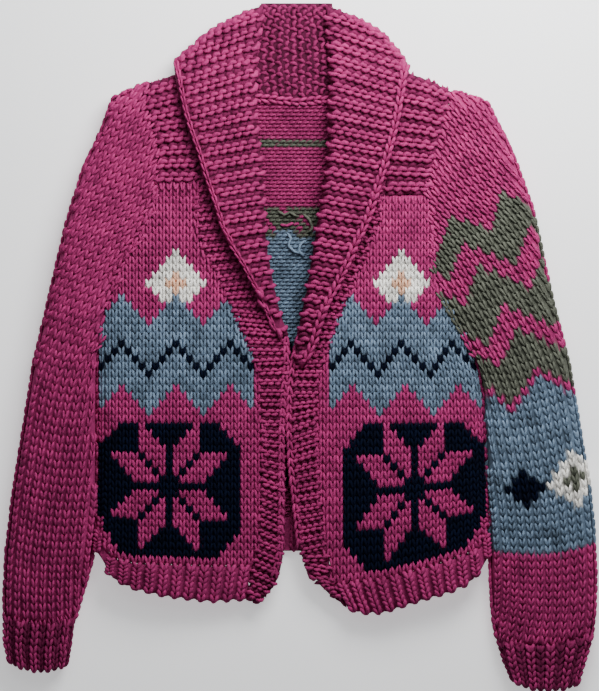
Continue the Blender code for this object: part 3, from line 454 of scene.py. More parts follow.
def strand(shape, layer, points, radii, sides):
    """One length of yarn through some points, pointed at both ends."""
    points = np.array(points, float)
    run = np.gradient(points, axis=0)
    run /= np.linalg.norm(run, axis=1, keepdims=True)
    across = np.cross(run, (0, 0, 1.0))
    across /= np.linalg.norm(across, axis=1, keepdims=True)
    up = np.cross(across, run)
    travel = np.concatenate(([0], np.cumsum(np.linalg.norm(np.diff(points, axis=0), axis=1))))
    turns = [2 * math.pi * side / sides for side in range(sides)]
    rings = []
    for place in range(1, len(points) - 1):
        ways = [math.cos(turn) * across[place] + math.sin(turn) * up[place] for turn in turns]
        rings.append([shape.verts.new(points[place] + radii[place] * way) for way in ways])
    ends = shape.verts.new(points[0]), shape.verts.new(points[-1])
    for side in range(sides):
        far = (side + 1) % sides
        low, high = side / sides, (side + 1) / sides
        places = [shape.faces.new((ends[0], rings[0][side], rings[0][far]))]
        spots = [[(0.5 * (low + high), 0), (low, travel[1]), (high, travel[1])]]
        for ring in range(len(rings) - 1):
            places.append(shape.faces.new((rings[ring][far], rings[ring][side], rings[ring + 1][side],
                                           rings[ring + 1][far])))
            t0, t1 = travel[ring + 1], travel[ring + 2]
            spots.append([(high, t0), (low, t0), (low, t1), (high, t1)])
        places.append(shape.faces.new((ends[1], rings[-1][far], rings[-1][side])))
        spots.append([(0.5 * (low + high), travel[-1]), (high, travel[-2]), (low, travel[-2])])
        for made, spot in zip(places, spots):
            for loop, (turn, reach) in zip(made.loops, spot):
                loop[layer].uv = (turn * math.pi, reach * PLY_RUN)


def stitch_shape(name, strands, sides=5):
    """A small mesh of one stitch, in metres, kept out of the finished scene."""
    found = bpy.data.objects.get(name)
    if found:
        return found
    shape = bmesh.new()
    layer = shape.loops.layers.uv.new("yarn")
    for points, radii in strands:
        strand(shape, layer, np.array(points) * MM, np.array(radii) * MM, sides)
    bmesh.ops.recalc_face_normals(shape, faces=shape.faces)
    return bpy.data.objects.new(name, smooth_mesh(name, shape))


def knit_shape(sides=5):
    """The two legs of a plain knit stitch."""
    leg = ((0.2, -6.6, 0.1), (0.8, -3.8, 1.05), (1.6, -0.5, 1.5), (2.2, 2.7, 1.45), (2.5, 6.1, 0.2))
    radii = (0, 1.38, 1.6, 1.5, 0)
    other = [(-x, y, z) for x, y, z in leg]
    return stitch_shape("knit_shape_%d" % sides, ((leg, radii), (other, radii)), sides)


def garter_shape():
    """One plump bump of a garter ridge."""
    arch = ((-5.3, -4.0, -1.6), (-3.2, -1.5, 1.2), (-0.2, 0.4, 2.1), (2.9, 0.0, 1.3), (5.3, -2.4, -1.6))
    return stitch_shape("garter_shape", ((arch, (0, 2.3, 2.75, 2.3, 0)),), 6)


def purl_shape():
    """The small tilted bump of the knit's wrong side."""
    arch = ((-3.9, -1.4, -0.9), (-2.1, -0.2, 0.9), (0, 0.6, 1.6), (2.1, 1.0, 1.0), (3.9, 0.6, -0.9))
    return stitch_shape("purl_shape", ((arch, (0, 1.35, 1.65, 1.35, 0)),))


def laying_tree():
    """Geometry Nodes that lay a stitch on every point, turned and sized by the point."""
    tree = bpy.data.node_groups.get("lay_stitches")
    if tree:
        return tree
    tree = bpy.data.node_groups.new("lay_stitches", "GeometryNodeTree")
    for name, kind in (("Geometry", "Geometry"), ("Stitch", "Object"), ("Yarn", "Material"),
                       ("Unevenness", "Float"), ("Seed", "Int")):
        socket = tree.interface.new_socket(name, in_out="INPUT", socket_type="NodeSocket" + kind)
        if kind == "Float":
            socket.min_value, socket.max_value = 0.0, 0.5
    tree.interface.new_socket("Geometry", in_out="OUTPUT", socket_type="NodeSocketGeometry")
    given = add_node(tree, "NodeGroupInput").outputs
    stitch = add_node(tree, "GeometryNodeObjectInfo", {"Object": given["Stitch"]})
    turn, size = [add_node(tree, "GeometryNodeInputNamedAttribute", {"Name": name}, data_type="FLOAT_VECTOR")
                  for name in ("turn", "size")]
    rotate = add_node(tree, "FunctionNodeEulerToRotation", {"Euler": turn.outputs["Attribute"]})
    low, high = [add_node(tree, "ShaderNodeMath", {0: 1.0, 1: given["Unevenness"]}, operation=kind)
                 for kind in ("SUBTRACT", "ADD")]
    spread = add_node(tree, "FunctionNodeRandomValue", {
        "Min": low.outputs[0], "Max": high.outputs[0], "Seed": given["Seed"]}, data_type="FLOAT_VECTOR")
    grown = add_node(tree, "ShaderNodeVectorMath", {
        0: size.outputs["Attribute"], 1: spread.outputs["Value"]}, operation="MULTIPLY")
    lay = add_node(tree, "GeometryNodeInstanceOnPoints", {
        "Points": given["Geometry"], "Instance": stitch.outputs["Geometry"],
        "Rotation": rotate.outputs["Rotation"], "Scale": grown.outputs[0]})
    real = add_node(tree, "GeometryNodeRealizeInstances", {"Geometry": lay.outputs["Instances"]})
    paint = add_node(tree, "GeometryNodeSetMaterial", {
        "Geometry": real.outputs["Geometry"], "Material": given["Yarn"]})
    add_node(tree, "NodeGroupOutput", {"Geometry": paint.outputs["Geometry"]})
    return tree


class Cloth:
    """A shell that is asked for the places and directions of its surface, in millimetres."""

    def __init__(self, shell):
        mesh = shell.data
        count = len(mesh.vertices)
        points, normals = np.zeros(count * 3), np.zeros(count * 3)
        mesh.vertices.foreach_get("co", points)
        mesh.vertices.foreach_get("normal", normals)
        self.points, self.normals = points.reshape(-1, 3) / MM, normals.reshape(-1, 3)
        self.faces = [tuple(face.vertices) for face in mesh.polygons]
        self.tree = BVHTree.FromPolygons(self.points.tolist(), self.faces)

    def smooth_normal(self, face, point):
        corners = self.faces[face]
        a, b, c = (self.points[corner] for corner in corners[:3])
        total = np.linalg.norm(np.cross(b - a, c - a)) + 1e-12
        u = np.linalg.norm(np.cross(b - point, c - point)) / total
        v = np.linalg.norm(np.cross(c - point, a - point)) / total
        normal = (u * self.normals[corners[0]] + v * self.normals[corners[1]]
                  + max(0.0, 1 - u - v) * self.normals[corners[2]])
        return normal / (np.linalg.norm(normal) + 1e-12)

    def meet(self, x, y, side=1):
        """The surface met from above, or from below where side is -1."""
        hit, _, face, _ = self.tree.ray_cast(Vector((x, y, 90.0 * side)), Vector((0, 0, -side)))
        if hit is None:
            return None
        hit = np.array(hit)
        return hit, self.smooth_normal(face, hit)

    def nearest(self, place):
        hit, _, face, _ = self.tree.find_nearest(Vector(place))
        hit = np.array(hit)
        return hit, self.smooth_normal(face, hit)


def make_shell(node, edge=9.0, inset=0.9):
    """A finer copy of a plain piece, a little inside it above and below and outside it at its sides.

    The creases are pressed into what faces up.
    """
    shape = bmesh.new()
    shape.from_mesh(frame["nodes"][node].data)
    bmesh.ops.remove_doubles(shape, verts=shape.verts, dist=1e-5)
    for _ in range(6):
        long_edges = [line for line in shape.edges if line.calc_length() > edge * MM]
        if not long_edges:
            break
        bmesh.ops.subdivide_edges(shape, edges=long_edges, cuts=1)
        bmesh.ops.triangulate(shape, faces=[face for face in shape.faces if len(face.verts) > 3])
    shape.normal_update()
    moves = []
    for vertex in shape.verts:
        x, y = vertex.co.x / MM - SHIFT[0], vertex.co.y / MM - SHIFT[1]
        pressed = 0.0
        if vertex.normal.z > CREASE_FACING and vertex.co.z > CREASE_LEVEL * MM:
            pressed = float(ease((vertex.normal.z - CREASE_FACING) / 0.5))
            pressed *= min(crease_depth(x, y), CREASE_MOST)
        reach = mix(SHELL_OUT, -inset, float(ease(abs(vertex.normal.z) / 0.7)))
        moves.append(vertex.normal * (reach * MM) - Vector((0, 0, pressed * MM)))
    for vertex, move in zip(shape.verts, moves):
        vertex.co += move
        vertex.co.z = max(vertex.co.z, LOWEST_SHELL * MM)
    mesh = smooth_mesh(node + "_cloth", shape)
    mesh.materials.append(yarn_material())
    mesh.uv_layers.new(name="yarn")
    return add_object(node + "_cloth", mesh)


class Laying:
    """Points gathered for one layer of stitches on a shell."""

    def __init__(self, cloth):
        self.cloth = cloth
        self.points, self.turns, self.sizes, self.tints = [], [], [], []

    def put(self, found, up, across, nominal, yarn, shade=1.0, thick=1.0, sink=0.0):
        """One stitch at a place on the surface, its height along up.

        nominal is the width and height of the place that it fills at its drawn size.
        """
        point, normal = found
        up, across = np.array(up, float), np.array(across, float)
        if len(up) == 2:
            lean = math.copysign(max(abs(normal[2]), 0.4), normal[2] if normal[2] else 1.0)
            up = np.append(up, -(normal[0] * up[0] + normal[1] * up[1]) / lean)
            across = np.append(across, -(normal[0] * across[0] + normal[1] * across[1]) / lean)
        flat = up - normal * normal.dot(up)
        reach = np.linalg.norm(flat)
        if reach < 1e-6:
            return
        y_axis = flat / reach
        x_axis = np.cross(y_axis, normal)
        turn = Matrix((x_axis, y_axis, normal)).transposed().to_euler()
        width = min(np.linalg.norm(across), STRETCH * nominal[0]) / nominal[0]
        height = min(reach, STRETCH * nominal[1]) / nominal[1]
        self.points.append((point - normal * sink) * MM)
        self.turns.append(tuple(turn))
        self.sizes.append((width, height, thick))
        # shade darkens the yarn where a caller paints shade into it; the mottle is the yarn's own uneven
        # colour
        mottle = 0.5 if yarn == "blue_grey" else 0.2
        shade *= 1.0 + mottle * noise.noise(Vector(point) * 0.35)
        base = getattr(bpy.context.scene.cardigan_yarns, yarn)
        self.tints.append((*(part * shade for part in base), 1.0))

    def grid(self, places, nominal, yarn_of, side=1, keep=lambda row, column: True, thick=1.0, sink=0.0,
             spill=0.0, shade=1.0, inside=lambda x, y: True):
        """Stitches at a grid of plan places, its first axis running up the stitches.

        Places up to spill outside the piece get a stitch too, which closes its seams.
        """
        ups, across = np.gradient(places, axis=0), np.gradient(places, axis=1)
        last = None
        for row in range(places.shape[0]):
            for column in range(places.shape[1]):
                x, y = places[row, column] + SHIFT
                if not keep(row, column):
                    continue
                found = self.cloth.meet(x, y, side)
                if found is None and last is not None and spill and inside(x, y):
                    edge = self.cloth.nearest((x, y, last[0][2]))[0]
                    if math.hypot(edge[0] - x, edge[1] - y) < spill:
                        found = np.array((x, y, edge[2] + 0.8 * side)), np.array((0, 0, float(side)))
                elif found is not None:
                    last = found
                if found is None or found[1][2] * side < KNIT_FACING:
                    continue
                self.put(found, ups[row, column], across[row, column], nominal, yarn_of(row, column),
                         shade=shade, thick=thick, sink=sink)

    def knit(self, name, stitch):
        """The layer as one mesh."""
        if not self.points:
            raise RuntimeError("no stitches found a place for " + name)
        knit = bpy.context.scene.cardigan_knit
        mesh = bpy.data.meshes.new(name)
        mesh.from_pydata([tuple(point) for point in self.points], [], [])
        for key, kind, values in (("turn", "FLOAT_VECTOR", self.turns), ("size", "FLOAT_VECTOR", self.sizes),
                                  ("tint", "FLOAT_COLOR", self.tints)):
            data = mesh.attributes.new(key, kind, "POINT").data
            data.foreach_set("color" if kind == "FLOAT_COLOR" else "vector", np.array(values, float).ravel())
        piece = add_object(name, mesh)
        tree = laying_tree()
        modifier = piece.modifiers.new("lay", "NODES")
        modifier.node_group = tree
        settings = {"Stitch": stitch, "Yarn": yarn_material(), "Unevenness": knit.unevenness,
                    "Seed": knit.seed}
        for item in tree.interface.items_tree:
            if item.item_type == "SOCKET" and item.in_out == "INPUT" and item.name in settings:
                modifier[item.identifier] = settings[item.name]
        bpy.context.view_layer.update()
        graph = bpy.context.evaluated_depsgraph_get()
        made = bpy.data.meshes.new_from_object(piece.evaluated_get(graph), depsgraph=graph)
        piece.modifiers.clear()
        piece.data = made
        bpy.data.meshes.remove(mesh)
        for key in ("turn", "size"):
            if key in made.attributes:
                made.attributes.remove(made.attributes[key])
        places = np.zeros(len(made.vertices) * 3)
        made.vertices.foreach_get("co", places)
        places[2::3] = np.maximum(places[2::3], LOWEST * MM)
        made.vertices.foreach_set("co", places)
        made.name = name
        made.update()
        return piece


def dress(node, shell, layings, layers, gap_shade="knit"):
    """Colours a shell from its stitches, hides the plain piece and attaches the new pieces to the root body.
    """
    points = [point for laying in layings for point in laying.points]
    tints = [tint for laying in layings for tint in laying.tints]
    tree = kdtree.KDTree(len(points))
    for place, point in enumerate(points):
        tree.insert(Vector(point), place)
    tree.balance()
    mesh = shell.data
    data = mesh.attributes.new("tint", "FLOAT_COLOR", "POINT").data
    values = []
    for vertex in mesh.vertices:
        tint = tints[tree.find(vertex.co)[1]]
        # painted shade: the shell between the stitches takes their colour, darkened
        values += [part * SHELL_GAP_SHADE[gap_shade] for part in tint[:3]] + [1.0]
    data.foreach_set("color", values)
    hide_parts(node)
    for piece in [shell] + layers:
        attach(piece, "root")


# The plain knit pieces

def front_places(word):
    """Plan places of a front's stitches: rows up from the rib, columns in from the side."""
    knit = bpy.context.scene.cardigan_knit
    sign = SIGN[word]
    levels = np.arange(BOTTOM_LEVEL - 0.5 * knit.row / MM, FRONT_TOP[word] + 2, knit.row / MM)
    inward = plan_distance((np.arange(FRONT_COLUMNS) + 0.5) * knit.column / MM)
    fixed = side_x(word, STEADY_LEVEL)
    shape = side_x(word, np.clip(levels, -400, SIDE[word][0][1])) - fixed
    share = np.clip(inward / FRONT_REACH, 0, 1)
    x = fixed - sign * inward[None, :] + shape[:, None] * (1 - share)[None, :]
    sink = np.clip((STRAIGHT_LEVEL - levels) / (STRAIGHT_LEVEL - BOTTOM_LEVEL), 0, 1)[:, None] ** 1.5
    y = levels[:, None] + sink * (read_line(RIB_TOP[word], x) - BOTTOM_LEVEL)
    return np.stack((x, y), axis=-1)


def make_front(word):
    knit = bpy.context.scene.cardigan_knit
    node = word + "_front"
    shell = make_shell(node)
    laying = Laying(Cloth(shell))
    nominal = knit.column / MM, knit.row / MM
    laying.grid(front_places(word), nominal, lambda row, column: front_yarn(column, row - 1), spill=4.0)
    layer = laying.knit(node + "_stitches", knit_shape())
    dress(node, shell, [laying], [layer])


def make_back():
    knit = bpy.context.scene.cardigan_knit
    shell = make_shell("back_panel")
    cloth = Cloth(shell)
    outer, inner = Laying(cloth), Laying(cloth)
    nominal = width, height = knit.column / MM, knit.row / MM
    levels = np.arange(BACK_RIB_TOP + height / 2, BACK_TOP, height)
    x = np.arange(BACK_SIDES[0] + width / 2, BACK_SIDES[1], width)
    places = np.stack(np.meshgrid(x, levels), axis=-1)
    yarn = lambda row, column: back_yarn(*places[row, column])
    outer.grid(places, nominal, yarn, side=-1, sink=UNDER_SINK["back"])
    seen = lambda row, column: INSIDE_BACK[0] < places[row, column, 0] < INSIDE_BACK[1]
    # the back's inside, seen through the opening, is darkened as painted shade
    for shift in ((0, height / 4), (width / 2, -height / 4)):
        inner.grid(places + shift, nominal, yarn, keep=seen, thick=0.9, shade=0.76)
    layers = [outer.knit("back_panel_stitches", knit_shape(4)), inner.knit("back_panel_purls", purl_shape()),
              make_tails(cloth)]
    dress("back_panel", shell, [outer, inner], layers)


def sleeve_axis(word):
    """The sleeve's outer fold, carried straight on above the shoulder."""
    fold = two_lines(SLEEVE[word])[0][3:]
    run = fold[0] - fold[2]
    run /= np.linalg.norm(run)
    line = np.concatenate(([fold[0] + run * SLEEVE_LEAD], fold))
    return along(line, np.linspace(0, path_lengths(line)[-1], 90))


def crossing(start, way, line):
    """How far along a way from a start it crosses a line of straight pieces, or a large number."""
    nearest = 1e6
    for (x0, y0), (x1, y1) in zip(line[:-1], line[1:]):
        run = np.array((x1 - x0, y1 - y0))
        scale = way[0] * run[1] - way[1] * run[0]
        if abs(scale) < 1e-9:
            continue
        gap = np.array((x0, y0)) - start
        reach = (gap[0] * run[1] - gap[1] * run[0]) / scale
        share = (gap[0] * way[1] - gap[1] * way[0]) / scale
        if -0.01 <= share <= 1.01 and reach > 5:
            nearest = min(nearest, reach)
    return nearest


def shoulder_edge(laying, line, width, height):
    """Stitches round the edge of a sleeve's top, where the sleeve's fold runs on outside it."""
    travel = path_lengths(line)
    for place in np.arange(height / 2, travel[-1], height):
        low, spot, high = along(line, [max(place - 1, 0), place, min(place + 1, travel[-1])])
        run = (high - low) / np.linalg.norm(high - low)
        for level, _ in SIDE_LEVELS:
            found = laying.cloth.nearest((*(spot + SHIFT), level))
            laying.put(found, np.append(-run * height, 0), (0, 0, width), (width, height), "raspberry",
                       thick=SLEEVE_THICK)


def make_sleeve(word):
    knit = bpy.context.scene.cardigan_knit
    node, sign = word + "_sleeve", SIGN[word]
    shell = make_shell(node, edge=10.0)
    laying = Laying(Cloth(shell))
    width, height = knit.sleeve_column / MM, knit.sleeve_row / MM
    line = sleeve_axis(word)
    travel = path_lengths(line)
    stations = np.arange(height / 2, travel[-1] + 20, height)
    fold = along(line, np.clip(stations, 0, travel[-1]))
    ends = np.gradient(fold, axis=0)
    ends[stations > travel[-1] - height] = ends[stations <= travel[-1] - height][-1]
    down = ends / np.linalg.norm(ends, axis=1, keepdims=True)
    even = np.ones(9) / 9
    down = np.stack([np.convolve(np.pad(part, 4, mode="edge"), even, "valid") for part in down.T], axis=1)
    down /= np.linalg.norm(down, axis=1, keepdims=True)
    fold += np.clip(stations - travel[-1], 0, None)[:, None] * down
    inside = np.stack((down[:, 1] * sign, -down[:, 0] * sign), axis=1)
    outer_fold, inner_fold = two_lines(SLEEVE[word])
    last = len(stations) - 1
    yarn_of = sleeve_yarn if word == "left" else plain_yarn
    reaches = [crossing(fold[row], inside[row], inner_fold) for row in range(len(stations))]
    for row, reach in enumerate(reaches):
        for away, outward in ((0.0, -1), (reach, 1)):
            if away > 1e5:
                continue
            spot = fold[row] + (away + SIDE_REACH[0] * outward) * inside[row] + SHIFT
            for level, steepest in SIDE_LEVELS:
                found = laying.cloth.nearest((*spot, level))
                if abs(found[1][2]) > steepest or np.hypot(*(found[0][:2] - spot)) > SIDE_REACH[1]:
                    continue
                yarn = yarn_of(0 if outward < 0 else 10, row - ROWS_ABOVE)
                laying.put(found, np.append(-down[row] * height, 0), (0, 0, width), (width, height), yarn,
                           thick=SLEEVE_THICK)
    shoulder_edge(laying, outer_fold[:4], width, height)
    chain(laying, ARMHOLE[word][:3], *CHAINS["shoulder_seam"], level=8.0)
    lean = SLEEVE_LEAN * (1 - ease((stations - LEAN_SPAN[0]) / (LEAN_SPAN[1] - LEAN_SPAN[0])))
    drift = np.cumsum(lean[::-1])[::-1] * height
    columns_in = np.arange(-LEAD_COLUMNS, ALL_COLUMNS) + 1.0
    for side in (1, -1):
        around = columns_in[None, :] * width + side * drift[:, None]
        places = np.zeros((len(stations), len(columns_in), 2))
        whole = np.full(len(stations), 1e6)
        for row in range(len(stations)):
            reach, cloth = reaches[row], around[row]
            plan = np.where(cloth < 0, cloth * CURL_PLAN[1] / CURL_CLOTH[1], plan_distance(cloth))
            if reach < 1e5:
                whole[row] = reach + 2 * CURL_EXTRA
                back = whole[row] - cloth
                plan = np.where(back < CURL_CLOTH[-1], reach - plan_distance(np.maximum(back, 0)), plan)
                plan = np.where(back < 0, reach - back, plan)
            share = plan / min(reach, DIP_WIDTH)
            dip = SLEEVE_DIP * np.clip(4 * share * (1 - share), 0, 1)
            dip = dip * ease((stations[row] - DIP_SPAN[0]) / DIP_SPAN[1])
            places[row] = fold[row] + plan[:, None] * inside[row] + dip[:, None] * down[row]
        rows = places[::-1]
        yarn = lambda row, column, side=side: yarn_of(
            side * int(columns_in[column]), last - row - ROWS_ABOVE)
        keep = lambda row, column, whole=whole, around=around: (
            0.5 * width < around[last - row, column] < whole[last - row] - 0.3 * width)
        laying.grid(rows, (width, height), yarn, side=side, keep=keep, thick=SLEEVE_THICK,
                    sink=0.0 if side > 0 else UNDER_SINK["sleeve"], spill=SLEEVE_SPILL,
                    inside=lambda x, y: abs(x) < abs(x_at(ARMHOLE[word], y)) or y < CUFF_SEAM)
    layer = laying.knit(node + "_stitches", knit_shape())
    dress(node, shell, [laying], [layer])


# The ribbed pieces

def make_front_rib(word):
    node, sign = word + "_front_rib", SIGN[word]
    shell = make_shell(node)
    laying = Laying(Cloth(shell))
    seam = two_lines(BAND[word])[0]
    rows = []
    ribs = 2 * COUNTS["front"]
    for share in (np.arange(6) + 0.5) / 6:
        outer_x = x_at(SIDE[word], mix(RIB_TOP[word][0][1], HEM[word][0][1], share))
        inner_y = mix(BOTTOM_LEVEL, HEM[word][-2][1], share)
        for _ in range(3):
            inner_x = x_at(seam, inner_y) + sign
            inner_y = mix(read_line(RIB_TOP[word], inner_x), read_line(HEM[word], inner_x), share)
        width = abs(inner_x - outer_x) + CURL_EXTRA
        x = outer_x - sign * plan_distance(width * (2 * np.arange(ribs // 2) + 1) / ribs)
        y = mix(read_line(RIB_TOP[word], x), read_line(HEM[word], x), share)
        rows.append(np.stack((x, y), axis=-1))
    places = np.array(rows)[::-1]
    laying.grid(places, FRONT_RIB_STITCH, plain_yarn, thick=1.5)
    chain(laying, RIB_TOP[word], *CHAINS["rib_seam"], level=6.0, thick=1.0)
    layer = laying.knit(node + "_stitches", knit_shape())
    dress(node, shell, [laying], [layer])


def make_back_rib():
    shell = make_shell("back_hem_rib")
    cloth = Cloth(shell)
    outer, inner = Laying(cloth), Laying(cloth)
    levels = np.arange(BACK_HEM + 3.5, BACK_RIB_TOP + 4, BACK_RIB_PITCH[1])
    x = np.arange(BACK_SIDES[0] + 6, BACK_SIDES[1] - 4, BACK_RIB_PITCH[0])
    places = np.stack(np.meshgrid(x, levels), axis=-1)
    outer.grid(places, BACK_RIB_STITCH, plain_yarn, side=-1, sink=UNDER_SINK["rib"])
    seen = lambda row, column: INSIDE_RIB[0] < places[row, column, 0] < INSIDE_RIB[1]
    inner.grid(places, BACK_RIB_STITCH, plain_yarn, keep=seen)
    layers = [outer.knit("back_hem_rib_stitches", knit_shape()),
              inner.knit("back_hem_rib_inside", knit_shape())]
    dress("back_hem_rib", shell, [outer, inner], layers)


def make_cuff(word):
    node = word + "_cuff"
    shell = make_shell(node, edge=7.0, inset=0.7)
    laying = Laying(Cloth(shell))
    outer, inner = two_lines(CUFF[word])
    lengths = path_lengths(outer)
    for side in (1, -1):
        rows = []
        for place in np.linspace(2.0, lengths[-1] - 2.0, 7):
            start = along(outer, place)
            across = read_path(inner, lengths, place) - start
            width = np.linalg.norm(across)
            ribs = np.arange(COUNTS["cuff"] // 2) * 2 + 1
            half = plan_distance(ribs / COUNTS["cuff"] * (width / 2 + CURL_EXTRA))
            plan = np.concatenate((half, width - half[::-1]))
            down = np.array((across[1], -across[0])) / width
            down *= -np.sign(down[1])
            share = (plan / width)[:, None]
            hang = CUFF_DIP[word] * 4 * share * (1 - share)
            rows.append(start + share * across + hang * down)
        places = np.array(rows)[::-1]
        # the sunken ribs' yarn is darkened as painted shade
        for odd, thick, sink, shade in CUFF_RIBS:
            laying.grid(places, CUFF_STITCH, plain_yarn, side=side, thick=thick, shade=shade,
                        keep=lambda row, column, odd=odd: column % 2 == odd,
                        sink=sink if side > 0 else sink + UNDER_SINK["cuff"])
    layer = laying.knit(node + "_stitches", knit_shape())
    dress(node, shell, [laying], [layer])


# The garter stitch pieces

def garter_ridges(laying, lines, half, side=1, thick=1.0, size=1.0, inside=lambda x, y: True, valley=0.0):
    """Pairs of bump rows along each ridge line, facing each other and set half a bump apart.

    Where valley is given, a sunken row lies that far to both sides of a ridge, its yarn darkened as painted
    shade.
    """
    width = bpy.context.scene.cardigan_knit.bump / MM * size
    for number, line in enumerate(lines):
        rows = [(half, 1, 0.25, 0.0, 1.0), (-half, -1, 0.75, 0.0, 1.0)]
        if valley:
            # the sunken rows between ridges are darkened as painted shade
            rows.append((-valley, 1, 0.5, VALLEY_SINK, VALLEY_SHADE))
        if valley and number == len(lines) - 1:
            rows.append((valley, 1, 0.0, VALLEY_SINK, VALLEY_SHADE))
        for away, facing, offset, sink, deep in rows:
            places, step = steps_along(line, step_count(line, width), offset)
            for spot, run in places:
                up = np.array((-run[1], run[0]))
                if up[1] < 0 and abs(run[0]) > abs(run[1]):
                    up = -up
                spot = spot + up * away
                if not inside(*spot):
                    continue
                found = laying.cloth.meet(*(spot + SHIFT), side)
                if found is None or found[1][2] * side < GARTER_FACING:
                    continue
                laying.put(found, up * facing * size, run * step, (width / size, 1.0), "raspberry",
                           shade=RIDGE_SHADE * deep, thick=thick, sink=sink)


def lapel_lines(word):
    """Plan lines of a lapel's ridges, sloping up to its roll; the lapel's outline cuts them."""
    roll = two_lines(LAPEL[word])[1]
    away = np.linspace(LAPEL_REACH, 1.0, 24)
    lines = []
    for level in np.arange(roll[0, 1] + 9.0, LAPEL_TOP, LAPEL_PITCH):
        slope = LAPEL_SLOPE[0] + LAPEL_SLOPE[1] * float(ease((level - 190) / 160))
        lines.append(np.stack((x_at(roll, level) + SIGN[word] * away, level - slope * away), axis=1))
    return lines


def chain(laying, line, pitch, width, level=None, thick=1.2):
    """Interlinked edge stitches along a plan line, on the cloth or flat beside it near a level."""
    places, step = steps_along(line, step_count(line, pitch))
    for spot, run in places:
        place = spot + SHIFT
        if level is None:
            found = laying.cloth.meet(*place)
        else:
            found = np.array((*place, laying.cloth.nearest((*place, level))[0][2])), np.array((0, 0, 1.0))
        if found is None:
            continue
        laying.put(found, run * step, (-run[1] * width, run[0] * width), KNIT_DRAWN, "raspberry", thick=thick)


def rim_line(cloth, across):
    """A plan line a little below the upper outline of a piece."""
    line = []
    for x in across:
        for y in np.arange(*RIM_SEARCH, -1.0):
            if cloth.meet(x + SHIFT[0], y + SHIFT[1]):
                line.append((x, y - RIM_INSET))
                break
    return np.array(line)


def make_lapel(word):
    node = word + "_lapel"
    shell = make_shell(node, edge=7.0)
    cloth = Cloth(shell)
    bumps, edge = Laying(cloth), Laying(cloth)
    free, roll = two_lines(LAPEL[word])
    inside = lambda x, y: SIGN[word] * x < SIGN[word] * x_at(free, y) - LAPEL_INSET or y > free[-1, 1]
    garter_ridges(bumps, lapel_lines(word), RIDGE_HALF["lapel"], inside=inside, valley=LAPEL_PITCH / 2)
    top = rim_line(cloth, SIGN[word] * np.linspace(abs(free[-1, 0]) - 3, RIM_END, 12))
    garter_ridges(bumps, [top], RIDGE_HALF["rim"])
    chain(edge, mix(free, roll, LAPEL_EDGE), *CHAINS[node], thick=1.9)
    layers = [bumps.knit(node + "_bumps", garter_shape()), edge.knit(node + "_edge", knit_shape())]
    dress(node, shell, [bumps, edge], layers,
          gap_shade="garter")


def make_band(word):
    node = word + "_band"
    shell = make_shell(node, edge=7.0)
    cloth = Cloth(shell)
    bumps, edge = Laying(cloth), Laying(cloth)
    seam, free = two_lines(BAND[word])
    lengths = path_lengths((seam + free) / 2)
    rows = int(round(lengths[-1] / BAND_ROW))
    lines = []
    for place in (np.arange(rows // 2) + 0.5) * 2 * lengths[-1] / rows:
        ends = read_path(seam, lengths, place), read_path(free, lengths, place)
        lines.append(np.array([mix(*ends, share) for share in (0.02, 0.5, 0.98)]))
    garter_ridges(bumps, lines, RIDGE_HALF["band"], valley=BAND_ROW, size=0.8)
    chain(edge, BAND_EDGE[word], *CHAINS["band"], level=16.0, thick=1.5)
    layers = [bumps.knit(node + "_bumps", garter_shape()), edge.knit(node + "_edge", knit_shape())]
    dress(node, shell, [bumps, edge], layers, gap_shade="garter")


def make_yoke(word):
    node = word + "_yoke"
    shell = make_shell(node)
    bumps = Laying(Cloth(shell))
    sign = SIGN[word]
    armhole, shoulder = ARMHOLE[word], SHOULDER[word]
    lengths = path_lengths(armhole)
    bottom_place = 4 if sign < 0 else 3
    bottom, neck_y = armhole[bottom_place][1], shoulder[-1][1]
    places = np.linspace(lengths[bottom_place] - 0.25, 24.0, 2 * COUNTS["yoke"])[1::2]
    places = np.concatenate((places, [10.0]))
    seam = list(two_lines(BAND[word])[0]) + [(shoulder[-1][0] + sign * 2, neck_y)]
    lines = []
    for outer_x, outer_y in along(armhole, places):
        share = (outer_y - bottom) / (shoulder[0][1] - bottom)
        inner_y = mix(bottom, neck_y, share)
        inner_x = x_at(seam, inner_y)
        across = np.linspace(0.02, 0.98, 8)
        x = mix(outer_x, inner_x, across)
        straight = mix(outer_y, inner_y, across)
        top = read_line(shoulder, x)
        y = bottom + (straight - bottom) * (top - bottom) / (mix(shoulder[0][1], neck_y, across) - bottom)
        lines.append(np.stack((x, y), axis=1)[::sign])
    garter_ridges(bumps, lines, RIDGE_HALF["yoke"], valley=YOKE_VALLEY)
    layers = [bumps.knit(node + "_bumps", garter_shape())]
    dress(node, shell, [bumps], layers, gap_shade="garter")


